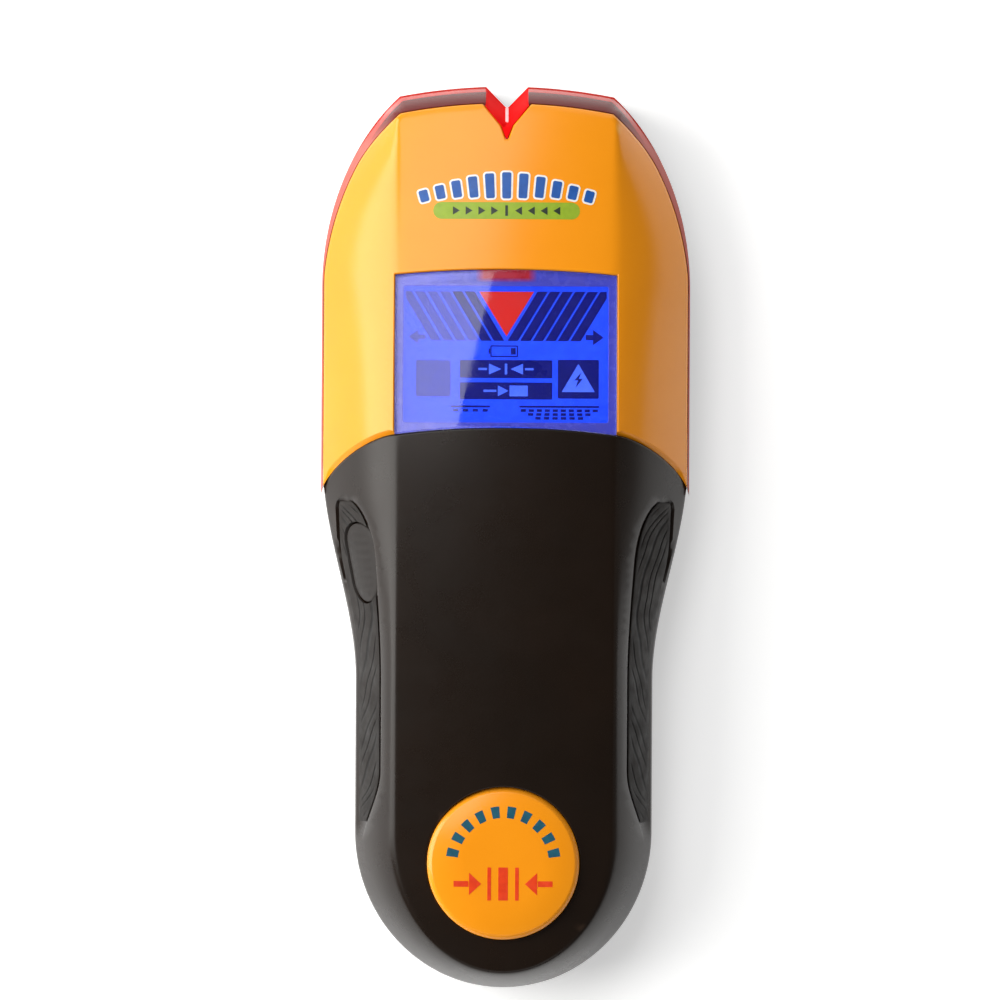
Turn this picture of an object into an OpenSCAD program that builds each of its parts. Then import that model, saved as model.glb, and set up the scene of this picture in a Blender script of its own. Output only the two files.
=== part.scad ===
// Handheld stud finder with a backlit display and a spotlight pointer.
// It lies on its back: the sensing face is Z = 0, the display faces +Z,
// the nose points to +Y and +X is to the right of a person reading the display.

/* [Body] */
// Length from the nose to the tail
body_l = 171.4; // [168:0.2:176]
// Width of the head
head_w = 70; // [68:0.5:74]
// Width of the handle
handle_w = 56.4; // [54:0.2:60]
// Height of the display side above the sensing face
body_h = 33; // [32:0.5:36]
// Height at the nose edge of the cover
nose_h = 22.5; // [21.5:0.5:24]
// Height at the tail end of the handle
tail_h = 27; // [26:0.5:29]
// Width of the raised centre panel, crease to crease
panel_w = 41.6; // [40:0.2:43]
// Fall of the centre panel from its middle to the creases
panel_crown = 1.5; // [1:0.1:2]
// Wall thickness of the covers and the housing
wall = 2.2; // [2:0.1:2.4]
// Height of the joint between the back housing and the covers
part_z = 10; // [9.5:0.1:10.5]

/* [Nose] */
// Depth of the sloped red face at the nose
nose_slope = 4; // [3.6:0.2:4.6]
// Width of the marking notch at the nose
notch_w = 8; // [7:0.5:9]
// Depth of the marking notch
notch_d = 4.2; // [3.6:0.2:4.8]

/* [Display] */
// Length of the window along the body
window_l = 31; // [30:0.2:31.4]
// Thickness of the clear window
window_t = 1.6; // [1.4:0.1:1.8]
// Width of the glass display
lcd_w = 38.6; // [37:0.2:39]

/* [Handle] */
// Diameter of the round badge
badge_d = 28.6; // [27:0.2:30]
// Travel of the power button into the body
button_travel = 1; // [0.6:0.1:1.2]

/* [Hidden] */

// Outline of the body
nose_y = body_l / 2;
tail_y = -body_l / 2;
head_y = 47;
head_b = nose_y - head_y + 6.5;
joint_y = 8;
waist_top_y = 14;
waist_end_y = -27;
tail_centre_y = -56;
handle_top_w = head_w - 0.6;
crease_x = panel_w / 2;
corner_x = crease_x - 0.4;
corner_y = head_y + head_b * sqrt(1 - pow(corner_x / (head_w / 2), 2));
summit_y = 10;

// Side wall and facets
side_z = 15;
nose_side_z = 12.5;
facet_bulge = 0.5;
cover_lip = 1.8;

// Number of points along each stretch of the outline
nose_steps = 4;
side_steps = 28;
tail_steps = 8;
half_steps = nose_steps + side_steps + tail_steps;
loop_steps = 2 * half_steps;

// Display
window_bottom_y = 19.2;
window_arch = 1;
cover_arch = 1.4;
lcd_y = 34.1;
lcd_l = 27;
lcd_t = 2.2;
board_z = 13;
board_t = 1.6;
backlight_z = 19.8;
backlight_t = 3.2;
lcd_z = backlight_z + backlight_t;

// Screws
screw_spots = [[15, 66], [-15, 66], [17, -19.5], [-17, -19.5]];
screw_head_d = 5.6;
screw_hole_d = 3.2;
boss_d = 7;
pilot_d = 2.4;
screw_seat_z = 5;

// Battery and its door
battery_size = [26.5, 46.5, 17.5];
battery_y = -77.5;
battery_z = 3.6;
door_y = -31;
door_wall_z = 8.4;
door_gap = 0.15;
door_floor = 2;
door_tab_w = 14;
rail_x = 22.8;
rail_w = 1.5;
rail_z = 5.2;
rail_top = 7.1;
rail_l = 22;
guide_t = 1.2;
guide_hook = 2.6;
guide_top = 8.1;
guide_y = -54;
guide_l = 20;

// Power button on the left side
button_y = -5;
button_z = 23.4;
button_l = 15;
button_tall = 8;
switch_x = -15;

// Badge
badge_y = -61.3;
badge_t = 2.6;
badge_proud = 0.7;

fit_gap = 0.1;

// Depth of a screw head's well, and reach of a cutting block past the body
well_z = 2.9;
past = 40;
lead_d = 1.4;

// Posts that hold the boards
board_screw_spots = [[22.5, 54], [-22.5, 54]];
board_rests = [[11, -9.5], [-14, -9.5]];
sensor_rests = [[25, 24], [-25, 24], [18, 55], [-18, 55]];

// ---- Surface of the body ----

function lerp(a, b, t) = a + (b - a) * t;
function smooth(t) = let (c = min(max(t, 0), 1)) c * c * (3 - 2 * c);
function arc_w(a, t) = a * sqrt(max(0, 1 - t * t));

// Half width of the outline at y, moved in by d
function half_w(y, d, head) =
    y > head_y ? arc_w(head_w / 2 - d, (y - head_y) / (head_b - d))
    : head ? head_w / 2 - d
    : y > tail_centre_y
        ? lerp(handle_top_w, handle_w, smooth((waist_top_y - y) / (waist_top_y - waist_end_y))) / 2 - d
    : arc_w(handle_w / 2 - d, (tail_centre_y - y) / (tail_centre_y - tail_y - d));

// Front edge of the nose, slightly bowed
function nose_edge(x) = nose_y - (nose_y - corner_y) * pow(x / corner_x, 2);

// Height of the centre panel along the middle
function crest(y) = y > summit_y
    ? body_h - (body_h - nose_h) * pow((y - summit_y) / (nose_y - nose_slope - summit_y), 2)
    : body_h - (body_h - tail_h) * pow((summit_y - y) / (summit_y - tail_y), 2);
badge_low = crest(badge_y) - badge_t + badge_proud;
function top_z(x, y) = crest(y) - panel_crown * pow(x / crease_x, 2);

// Place of a point along the side; the points lie closer together near the nose
function side_y(i) = lerp(corner_y, tail_centre_y, pow((i - nose_steps) / side_steps, 1.15));

// Point i of the outline, from the middle of the nose along the right side to the tail
function rim(i, d, head) =
    i <= nose_steps
        ? let (x = corner_x * i / nose_steps) [x * (1 - 0.6 * d / corner_x), nose_edge(x) - d]
    : i <= nose_steps + side_steps
        ? let (y = side_y(i),
               inset_y = y - d * max(0, (y - head_y) / (corner_y - head_y)))
          [half_w(inset_y, d, head), inset_y]
    : let (a = 90 * (i - nose_steps - side_steps) / tail_steps)
      [(handle_w / 2 - d) * cos(a), tail_centre_y - (tail_centre_y - tail_y - d) * sin(a)];

// The crease that goes with point i
function crease(i, d) =
    i <= nose_steps
        ? let (x = corner_x * i / nose_steps) [x * (1 - 0.4 * d / corner_x), nose_edge(x) - nose_slope - d]
    : i <= nose_steps + side_steps
        ? let (y = side_y(i))
          [crease_x - 0.4 * d, y - (nose_slope + d) * smooth((y - head_y) / (corner_y - head_y))]
    : let (a = 90 * (i - nose_steps - side_steps) / tail_steps)
      [(crease_x - 0.4 * d) * cos(a), tail_centre_y - (tail_centre_y - tail_y - 3.7 - 0.4 * d) * sin(a)];

// Share of the facet that the red band takes: nearly all at the nose, little along the sides
band_low = 0.035;
band_run = 30;
function band(i) =
    i <= nose_steps ? 0.94
    : i > nose_steps + side_steps ? band_low
    : lerp(band_low, 0.94, pow(max(0, 1 - (corner_y - side_y(i)) / band_run), 1.7));

function side_top(y) = lerp(side_z, nose_side_z, smooth((y - head_y) / (corner_y - head_y)));
function bulge(u) = u * (1 + facet_bulge * (1 - u));

// Point on the facet, u = 0 at the side wall and 1 at the crease, d under the surface
function facet(i, u, d, head) =
    let (p = rim(i, d, head), c = crease(i, d), xy = p + (c - p) * u, z0 = side_top(p[1]))
    [xy[0], xy[1], lerp(z0, top_z(c[0], c[1]), bulge(u)) - d * lerp(0.2, 1, u)];

function mirror_x(p) = [-p[0], p[1], p[2]];
function loop(ring) = [
    for (i = [0 : loop_steps - 1]) i <= half_steps ? ring[i] : mirror_x(ring[loop_steps - i])
];

// Spine of the centre panel, where the left and right halves meet
function spine_y(k) = lerp(nose_y - 18, tail_y + 22, k / side_steps);
function spine_k(i) = let (j = i > half_steps ? loop_steps - i : i)
    min(max(j - nose_steps, 0), side_steps);
function spine(d) = [for (k = [0 : side_steps]) [0, spine_y(k), crest(spine_y(k)) - d]];

// Ring halfway between the crease and the spine
function mid_ring(d) = loop([
    for (i = [0 : half_steps])
        let (c = crease(i, d), x = c[0] / 2, y = (c[1] + spine_y(spine_k(i))) / 2)
        [x, y, top_z(x, y) - d]
]);

function ring_quads(a, b) = [
    for (i = [0 : loop_steps - 1])
        let (j = (i + 1) % loop_steps)
        each [[a + i, b + i, b + j], [a + i, b + j, a + j]]
];
function crown_faces(a, s) = [
    for (i = [0 : loop_steps - 1])
        let (j = (i + 1) % loop_steps, si = s + spine_k(i), sj = s + spine_k(j))
        each concat([[a + i, si, a + j]], si == sj ? [] : [[a + j, si, sj]])
];
function flip(faces) = [for (f = faces) [f[0], f[2], f[1]]];

// ---- Side scoops that hold the rubber grips ----

scoop_first = nose_steps + 17;
scoop_last = nose_steps + side_steps;
scoop_start_y = 7.5;
scoop_run = 13;
scoop_low = 0.06;
scoop_top = 0.7;
scoop_edge = 0.04;
scoop_d = 1.2;
scoop_end_rise = 0.28;
function scoop_high(i) =
    let (y = side_y(min(max(i, nose_steps), scoop_last)),
         t = min(max((scoop_start_y - y) / scoop_run, 0), 1))
    lerp(scoop_end_rise, scoop_top, sqrt(1 - pow(1 - t, 2.2)));
function in_scoop(i) = i >= scoop_first && i <= scoop_last;

// Shares of the facet where the handle's rings lie, and the extra depth that the scoop gives them
function scoop_share(i, k) =
    let (low = scoop_low + scoop_edge, high = scoop_high(i) - scoop_edge)
    [0, scoop_low, low, lerp(low, high, 0.33), lerp(low, high, 0.67), high, scoop_high(i), 1][k];
function ring_share(i, k, above_band) = above_band ? lerp(band(i), 1, k / 3) : scoop_share(i, k);
function ring_depth(i, k, d, above_band) =
    !above_band && in_scoop(i) && k > 1 && k < 6 ? max(d, scoop_d) : d;
function ring_count(above_band) = above_band ? 4 : 8;

// Dome that follows the body up over the centre panel. The yellow cover starts above the red
// band with a short lip down; the handle starts at the side wall, which goes down to low.
function dome_rings(d, head, above_band, low) =
    let (foot = loop([for (i = [0 : half_steps]) facet(i, ring_share(i, 0, above_band), d, head)]))
    concat(
        [for (p = foot) [p[0], p[1], above_band ? p[2] - low : low]],
        foot,
        [
            for (k = [1 : ring_count(above_band) - 1])
                each loop([
                    for (i = [0 : half_steps])
                        facet(i, ring_share(i, k, above_band), ring_depth(i, k, d, above_band), head)
                ])
        ],
        mid_ring(d),
        spine(d)
    );
function dome_faces(base, rings) = concat(
    [for (r = [0 : rings - 1]) each ring_quads(base + r * loop_steps, base + (r + 1) * loop_steps)],
    crown_faces(base + rings * loop_steps, base + (rings + 1) * loop_steps)
);

module dome_shell(head, above_band, low) {
    outer = dome_rings(0, head, above_band, low);
    inner = dome_rings(wall, head, above_band, above_band ? low - 0.6 * wall : low);
    n = len(outer);
    rings = ring_count(above_band) + 1;
    polyhedron(
        points = concat(outer, inner),
        faces = concat(flip(dome_faces(0, rings)), dome_faces(n, rings), ring_quads(0, n)),
        convexity = 6
    );
}

// Sweeping line where the yellow cover ends and the black handle starts
cover_end_drop = window_bottom_y - joint_y;
cover_end_w = head_w / 2 - crease_x;
function cover_end(x) =
    let (s = min(max((x - crease_x) / cover_end_w, 0), 1))
    joint_y + cover_end_drop * pow(1 - pow(s, 1.5), 2 / 3);
cover_end_steps = 10;
cover_end_line = [
    for (k = [0 : cover_end_steps])
        let (x = crease_x + cover_end_w * sin(90 * k / cover_end_steps)) [x, cover_end(x)]
];

// Arched stretch of that line between the creases, which is also the window's lower edge
arch_steps = 8;
function lower_arch(w) = [
    for (k = [0 : arch_steps])
        let (x = lerp(-w, w, k / arch_steps))
        [x, window_bottom_y + cover_arch * (1 - pow(x / w, 2))]
];

// Plan of everything on the nose side of that line, moved towards the nose by g
module head_plan(g) {
    far = body_l / 2;
    right = [for (p = cover_end_line) [p[0], p[1] + g]];
    left = [for (k = [cover_end_steps : -1 : 0]) [-right[k][0], right[k][1]]];
    arch = lower_arch(crease_x);
    middle = [for (k = [1 : arch_steps - 1]) [arch[k][0], arch[k][1] + g]];
    polygon(concat(
        [[far, joint_y + g], [far, body_l], [-far, body_l], [-far, joint_y + g]], left, middle, right
    ));
}

// The V notch: upright through the housing, then leaning back with the sloped nose face
nose_top_y = nose_y - nose_slope;
nose_lean = atan2(nose_slope, crest(nose_top_y) - nose_side_z);
module notch_v(w, d) {
    polygon([[-w / 2 - 1.5, 1.5], [-w / 2, 0], [0, -d], [w / 2, 0], [w / 2 + 1.5, 1.5]]);
}
module notch_space() {
    translate([0, nose_y, -1]) linear_extrude(nose_side_z + 1.5) notch_v(notch_w, notch_d);
    translate([0, nose_y, nose_side_z]) rotate([nose_lean, 0, 0])
        translate([0, 0, -0.5]) linear_extrude(16) notch_v(notch_w, notch_d * cos(nose_lean));
}

// Opening in the yellow cover around the notch, with a pointed tip behind it, widened by g
module notch_opening(g) {
    shoulder = notch_w / 2 + 0.5 + g;
    waist = 1.1 + g;
    waist_y = nose_top_y - notch_d + 0.2;
    tip_y = waist_y - 2.5 - g;
    polygon([
        [-shoulder, nose_y + 2], [-shoulder, nose_top_y], [-waist, waist_y], [-0.3 - g, tip_y],
        [0.3 + g, tip_y], [waist, waist_y], [shoulder, nose_top_y], [shoulder, nose_y + 2]
    ]);
}

// The lens's own walls around the notch
module notch_insert() {
    low = part_z + fit_gap;
    back_y = nose_y - 12;
    intersection() {
        translate([0, 0, low]) linear_extrude(body_h) notch_opening(0);
        rotate([90, 0, 90]) translate([0, 0, -notch_w]) linear_extrude(2 * notch_w) polygon([
            [back_y, low], [nose_y - 0.15, low], [nose_y - 0.15, nose_side_z],
            [nose_top_y - 0.1, crest(nose_top_y) - 0.15], [back_y, crest(back_y) - 0.1]
        ]);
    }
}

// Clear blade's side view: from the lamp to the leaning edge at the bottom of the notch
blade_w = 0.7;
blade_back_y = 73.1;
module blade(g) {
    apex_y = nose_y - notch_d - 0.15;
    top = 20.6;
    lean = (top - nose_side_z) * tan(nose_lean);
    rotate([90, 0, 90]) translate([0, 0, -blade_w / 2 - g]) linear_extrude(blade_w + 2 * g) polygon([
        [blade_back_y, part_z + 1.2 - g], [apex_y + 3 * g, part_z + 1.2 - g], [apex_y + 3 * g, nose_side_z],
        [apex_y - lean + 3 * g, top + g], [blade_back_y, top + g]
    ]);
}

// Outline of the window, widened by g
module window_plan(g) {
    w = crease_x + g;
    bottom = [for (p = lower_arch(w)) [p[0], p[1] - g]];
    top = [
        for (k = [0 : arch_steps])
            let (x = lerp(w, -w, k / arch_steps))
            [x, window_bottom_y + window_l - window_arch * pow(x / w, 2) + g]
    ];
    polygon(concat(bottom, top));
}

// ---- Shells ----

module cover_bosses(spots, top) {
    for (p = spots)
        translate([p[0], p[1], screw_seat_z + 0.1])
            cylinder(h = top - screw_seat_z - 0.1, d = boss_d, $fn = 48);
}

module pilot_holes(spots, top) {
    for (p = spots)
        translate([p[0], p[1], screw_seat_z - 1])
            cylinder(h = top - screw_seat_z - 3, d = pilot_d, $fn = 32);
}

// Plate that follows the centre panel, from its surface down by t, over a set of y limits
module panel_slab(y0, y1, depth, t) {
    columns = 8;
    rows = 5;
    count = (columns + 1) * (rows + 1);
    function grid(d) = [
        for (r = [0 : rows])
            for (c = [0 : columns])
                let (x = lerp(-crease_x - 2, crease_x + 2, c / columns), y = lerp(y0, y1, r / rows))
                [x, y, top_z(x, y) - d]
    ];
    border = concat(
        [for (c = [0 : columns - 1]) c],
        [for (r = [0 : rows - 1]) r * (columns + 1) + columns],
        [for (c = [columns : -1 : 1]) rows * (columns + 1) + c],
        [for (r = [rows : -1 : 1]) r * (columns + 1)]
    );
    upper = [
        for (r = [0 : rows - 1])
            for (c = [0 : columns - 1])
                let (a = r * (columns + 1) + c, b = a + 1, e = a + columns + 1, f = e + 1)
                each [[a, e, f], [a, f, b]]
    ];
    polyhedron(
        points = concat(grid(depth), grid(depth + t)),
        faces = concat(
            upper,
            [for (f = upper) [f[0] + count, f[2] + count, f[1] + count]],
            [
                for (k = [0 : len(border) - 1])
                    let (a = border[k], b = border[(k + 1) % len(border)])
                    each [[a, b, b + count], [a, b + count, a + count]]
            ]
        ),
        convexity = 4
    );
}

module top_cover() {
    boss_top = 23.8;
    color("orange") difference() {
        union() {
            intersection() {
                dome_shell(true, true, cover_lip);
                linear_extrude(body_h + 2) head_plan(0);
            }
            cover_bosses([for (k = [0 : 1]) screw_spots[k]], boss_top);
        }
        translate([0, 0, part_z]) linear_extrude(body_h) window_plan(0.1);
        translate([0, 0, part_z]) linear_extrude(body_h) notch_opening(fit_gap);
        pilot_holes([for (k = [0 : 1]) screw_spots[k]], boss_top);
    }
}

module handle_cover() {
    boss_top = 30;
    color([0.13, 0.11, 0.1]) difference() {
        union() {
            difference() {
                dome_shell(false, false, part_z);
                linear_extrude(body_h + 2) head_plan(-fit_gap);
            }
            cover_bosses([for (k = [2 : 3]) screw_spots[k]], boss_top);
        }
        translate([0, badge_y, badge_low])
            cylinder(h = 10, d = badge_d + 2 * fit_gap, $fn = 96);
        button_hole();
        pilot_holes([for (k = [2 : 3]) screw_spots[k]], boss_top);
    }
}

// Red see-through band: the sloped nose face and a strip down both sides of the head.
// Its upper edge is stepped down behind the outer face, where the yellow cover's lip sits.
lens_t = 1.6;
lens_step = cover_lip + 0.9;
lens_gap_share = 0.012;
function lens_section(i) =
    let (low = part_z + fit_gap, edge = max(band(i) - lens_gap_share, 0.01),
         outer = rim(i, 0, true), inner = rim(i, lens_t, true), top = facet(i, edge, 0, true),
         step_z = top[2] - lens_step)
    [
        [outer[0], outer[1], low], facet(i, 0, 0, true), facet(i, edge / 2, 0, true), top,
        [top[0], top[1], step_z], [inner[0], inner[1], min(step_z, side_top(outer[1])) - 0.3],
        [inner[0], inner[1], low]
    ];

module nose_lens() {
    sections = [for (i = [0 : half_steps]) lens_section(i)];
    n = len(sections[0]);
    points = [for (k = [0 : n - 1]) each loop([for (i = [0 : half_steps]) sections[i][k]])];
    color([0.75, 0.1, 0.08, 0.8]) difference() {
        union() {
            intersection() {
                polyhedron(
                    points = points,
                    faces = [
                        for (k = [0 : n - 1])
                            each flip(ring_quads(k * loop_steps, ((k + 1) % n) * loop_steps))
                    ],
                    convexity = 6
                );
                linear_extrude(body_h) head_plan(0);
            }
            notch_insert();
        }
        notch_space();
        blade(fit_gap);
    }
}

// Lower shell with its bosses and the rim that the battery door slides along
module back_housing() {
    // Rings of the shell's section: [inset, height]
    section = [[2.4, 0], [0.8, 0.7], [0.1, 2.2], [0, 3.4], [0, part_z], [wall, part_z], [wall, door_floor + 0.2]];
    n = len(section);
    points = [
        for (s = section)
            each loop([for (i = [0 : half_steps]) let (p = rim(i, s[0], false)) [p[0], p[1], s[1]]])
    ];
    color([0.16, 0.15, 0.14]) difference() {
        union() {
            polyhedron(
                points = points,
                faces = concat(
                    [for (k = [0 : n - 2]) each flip(ring_quads(k * loop_steps, (k + 1) * loop_steps))],
                    [[for (i = [0 : loop_steps - 1]) loop_steps - 1 - i]],
                    [[for (i = [0 : loop_steps - 1]) (n - 1) * loop_steps + i]]
                ),
                convexity = 6
            );
            for (p = screw_spots) translate([p[0], p[1], 1]) cylinder(h = screw_seat_z - 1, d = boss_d + 3, $fn = 48);
            for (p = board_screw_spots) translate([p[0], p[1], 1]) cylinder(h = board_z - 1, d = 5, $fn = 48);
            for (p = board_rests) translate([p[0], p[1], 1]) cylinder(h = board_z - 1, d = 3, $fn = 32);
            for (p = sensor_rests) translate([p[0], p[1], 1]) cylinder(h = sensor_z - 1, d = 3, $fn = 32);
        }
        for (p = board_screw_spots) translate([p[0], p[1], board_z - 7]) cylinder(h = 8, d = 2, $fn = 32);
        for (p = screw_spots) translate([p[0], p[1], -1]) {
            cylinder(h = well_z + 1, d = screw_head_d + 0.6, $fn = 48);
            cylinder(h = part_z, d = screw_hole_d, $fn = 32);
        }
        door_space();
        notch_space();
    }
    // Rails for the battery door, held by two short walls
    color([0.16, 0.15, 0.14]) for (s = [-1, 1]) {
        translate([s * rail_x - rail_w / 2, door_y - rail_l, rail_z]) cube([rail_w, rail_l + 1, rail_top - rail_z]);
        translate([s * rail_x - 3, door_y + 0.4, 1.5]) cube([6, 2, part_z - 2.5]);
    }
}

// Room for the battery door: the tail of the housing below the rail height
module door_space() {
    translate([-past, tail_y - 5, -1]) cube([2 * past, door_y - tail_y + 5, door_wall_z + door_gap + 1]);
}

module battery_door() {
    floor_top = door_floor + 0.2;
    section = [[2.4, 0], [0.8, 0.7], [0.1, 2.2], [0, 3.4], [0, door_wall_z], [wall, door_wall_z], [wall, floor_top]];
    n = len(section);
    points = [
        for (s = section)
            each loop([for (i = [0 : half_steps]) let (p = rim(i, s[0], false)) [p[0], p[1], s[1]]])
    ];
    color([0.15, 0.14, 0.13]) union() {
        intersection() {
            polyhedron(
                points = points,
                faces = concat(
                    [for (k = [0 : n - 2]) each flip(ring_quads(k * loop_steps, (k + 1) * loop_steps))],
                    [[for (i = [0 : loop_steps - 1]) loop_steps - 1 - i]],
                    [[for (i = [0 : loop_steps - 1]) (n - 1) * loop_steps + i]]
                ),
                convexity = 6
            );
            translate([-past, tail_y - 5, -1]) cube([2 * past, door_y - door_gap - tail_y + 5, body_h]);
        }
        // Spring tab that snaps over the housing's floor
        translate([-door_tab_w / 2, door_y - 6, floor_top - 0.2]) cube([door_tab_w, 5.8, 1.2]);
        translate([-door_tab_w / 2, door_y - 1, floor_top + door_gap]) cube([door_tab_w, 4, 0.85]);
        // Hooked guides that hang on the housing's rails
        for (s = [-1, 1]) {
            guide_x = s * (rail_x + rail_w / 2 + 0.5);
            translate([guide_x + s * guide_t / 2 - guide_t / 2, guide_y, floor_top - 0.2])
                cube([guide_t, guide_l, guide_top - floor_top + 0.2]);
            translate([guide_x + s * (guide_t - guide_hook) / 2 - guide_hook / 2, guide_y, guide_top - 0.7])
                cube([guide_hook, guide_l, 0.7]);
        }
    }
}

module display_window() {
    color([0.6, 0.65, 0.9, 0.5]) intersection() {
        panel_slab(window_bottom_y - 1, window_bottom_y + window_l + 1, 0, window_t);
        linear_extrude(body_h + 2) window_plan(0);
    }
}

// ---- Grips ----

grip_sunk = 0.3;
grip_inset = 0.03;
grip_columns = 5;

// Rubber pad that lies in the scoop on one side, a little under the surface around it
module grip(side) {
    rows = scoop_last - scoop_first;
    count = (rows + 1) * (grip_columns + 1);
    function grid(d) = [
        for (r = [0 : rows])
            for (c = [0 : grip_columns])
                let (i = scoop_first + r,
                     low = scoop_low + scoop_edge + grip_inset,
                     high = scoop_high(i) - scoop_edge - grip_inset,
                     p = facet(i, lerp(low, high, c / grip_columns), d, false))
                [side * p[0], p[1], p[2]]
    ];
    quads = [
        for (r = [0 : rows - 1])
            for (c = [0 : grip_columns - 1])
                let (a = r * (grip_columns + 1) + c, b = a + 1, e = a + grip_columns + 1, f = e + 1)
                each [[a, b, f], [a, f, e]]
    ];
    border = concat(
        [for (c = [0 : grip_columns - 1]) c],
        [for (r = [0 : rows - 1]) r * (grip_columns + 1) + grip_columns],
        [for (c = [grip_columns : -1 : 1]) rows * (grip_columns + 1) + c],
        [for (r = [rows : -1 : 1]) r * (grip_columns + 1)]
    );
    faces = concat(
        quads,
        flip([for (f = quads) [f[0] + count, f[1] + count, f[2] + count]]),
        [
            for (k = [0 : len(border) - 1])
                let (a = border[k], b = border[(k + 1) % len(border)])
                each [[a, b + count, b], [a, a + count, b + count]]
        ]
    );
    polyhedron(
        points = concat(grid(grip_sunk), grid(scoop_d - 0.02)),
        faces = side > 0 ? faces : flip(faces),
        convexity = 6
    );
}

module left_grip() {
    color("dimgray") difference() {
        grip(-1);
        button_hole();
    }
}

module right_grip() {
    color("dimgray") grip(1);
}

// ---- Power button ----

// Upright slot shape of the button, drawn along +X from x0
module button_bar(x0, x1, g) {
    r = button_tall / 2 + g;
    translate([x0, button_y, button_z]) rotate([0, 90, 0]) slot_block(x1 - x0, r, button_l - button_tall);
}
module slot_block(h, r, span) {
    translate([-r, -span / 2, 0]) cube([2 * r, span, h]);
    for (s = [-1, 1]) translate([0, s * span / 2, 0]) cylinder(h = h, r = r, $fn = 48);
}

button_out_x = -30.6;
button_lean = 32;
button_in_x = -20.5;
button_gap = 0.25;
module button_hole() {
    button_bar(-past, button_in_x - 0.2, button_gap);
}

module power_button() {
    color([0.09, 0.08, 0.08]) {
        intersection() {
            button_bar(button_out_x, button_in_x, 0);
            // The outer face leans in at the top like the facet that it sits in
            translate([button_out_x, 0, button_z - button_tall / 2]) rotate([0, button_lean, 0])
                translate([0, -past, -past]) cube(2 * past);
        }
        // Pusher that meets the plunger
        translate([button_in_x - 0.5, button_y - 2, button_z - 3]) cube([1.5, 4, 5]);
    }
}

plunger_r = 1.1;
plunger_gap = 0.03;
switch_w = 6.2;
switch_z = board_z + board_t;
plunger_z = button_z - 1.5;
module power_switch() {
    top = plunger_z + 2.4;
    color("dimgray") difference() {
        translate([switch_x - 1, button_y - switch_w / 2, switch_z])
            cube([switch_w, switch_w, top - switch_z]);
        translate([switch_x - 2, button_y, plunger_z]) rotate([0, 90, 0])
            cylinder(h = 5, r = plunger_r + 0.06, $fn = 32);
    }
}

module switch_plunger() {
    start = button_in_x + 1 + plunger_gap;
    color("white") translate([start, button_y, plunger_z]) rotate([0, 90, 0])
        cylinder(h = switch_x + 1.8 - button_travel - start, r = plunger_r, $fn = 32);
}

// ---- Badge ----

module badge_disc() {
    edge = 0.6;
    rounds = 3;
    color("gold") translate([0, badge_y, badge_low]) rotate_extrude($fn = 96) polygon(concat(
        [[0, 0], [badge_d / 2, 0]],
        [for (k = [0 : rounds])
            let (a = 90 * k / rounds)
            [badge_d / 2 - edge * (1 - cos(a)), badge_t - edge * (1 - sin(a))]],
        [[0, badge_t]]
    ));
}

// ---- Display ----

module centred_block(w, l, y, z, t) {
    translate([-w / 2, y - l / 2, z]) cube([w, l, t]);
}

module lcd_glass() {
    color([0.3, 0.45, 0.9]) centred_block(lcd_w, lcd_l, lcd_y, lcd_z, lcd_t);
}

backlight_l = 20.4;
module backlight_panel() {
    color("white") centred_block(lcd_w, backlight_l, lcd_y, backlight_z, backlight_t);
}

module lcd_contact_strips() {
    strip_t = 2.2;
    for (s = [-1, 1])
        color("pink") centred_block(34, strip_t, lcd_y + s * (lcd_l / 2 - strip_t / 2 - 0.3), switch_z,
            lcd_z - switch_z);
}

module lcd_frame() {
    frame_w = lcd_w + 3.6;
    frame_l = lcd_l + 3;
    frame_top = lcd_z + 1.4;
    color("whitesmoke") difference() {
        centred_block(frame_w, frame_l, lcd_y, switch_z, frame_top - switch_z);
        centred_block(lcd_w + 0.2, lcd_l + 0.2, lcd_y, lcd_z, 10);
        centred_block(lcd_w + 0.2, backlight_l + 0.2, lcd_y, backlight_z, 10);
        centred_block(lcd_w - 3, backlight_l - 2, lcd_y, board_z, 10);
        for (s = [-1, 1])
            centred_block(34.2, 2.4, lcd_y + s * (lcd_l / 2 - 1.4), board_z, 15);
    }
}

module backlight_leds() {
    for (x = [-12, -4, 4, 12])
        color("lightcyan") centred_led(x);
}
module centred_led(x) {
    translate([x - 1.4, lcd_y - 1, switch_z]) cube([2.8, 2, 0.9]);
}

// ---- Boards ----

module main_board() {
    color("darkgreen") difference() {
        translate([0, 0, board_z]) linear_extrude(board_t) polygon([
            [-25, 57], [-25, 12], [-18, 12], [-18, -12], [13, -12], [13, 12], [25, 12], [25, 57]
        ]);
        for (p = board_screw_spots) translate([p[0], p[1], board_z - 1]) cylinder(h = 5, d = 2.4, $fn = 32);
    }
}

module board_screws() {
    for (p = board_screw_spots) color("silver") translate([p[0], p[1], board_z + board_t]) {
        cylinder(h = 1.3, d = 4, $fn = 32);
        translate([0, 0, -6.5]) cylinder(h = 6.6, d = 1.99, $fn = 32);
    }
}

module microcontroller() {
    size = 10;
    leads = 8;
    pitch = 1;
    y = 38;
    color([0.1, 0.1, 0.11]) centred_block(size, size, y, board_z - 1.7, 1.5);
    for (turn = [0 : 90 : 270])
        color("silver") translate([0, y, board_z]) rotate([0, 0, turn])
            for (k = [0 : leads - 1])
                translate([size / 2 - 0.2, (k - (leads - 1) / 2) * pitch - 0.2, -1.1]) cube([1.3, 0.4, 1.1]);
}

// Small chip resistors and capacitors under the main board
module surface_parts() {
    for (row = [0 : 3], column = [-1, 1])
        color("tan") translate([column * 12 - 1, 22 + row * 7, board_z - 0.7]) cube([2, 1.2, 0.7]);
}

module capacitors() {
    for (x = [-7, 7])
        color("navy") translate([x, 52.5, switch_z]) cylinder(h = 7, d = 5, $fn = 48);
}

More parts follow.
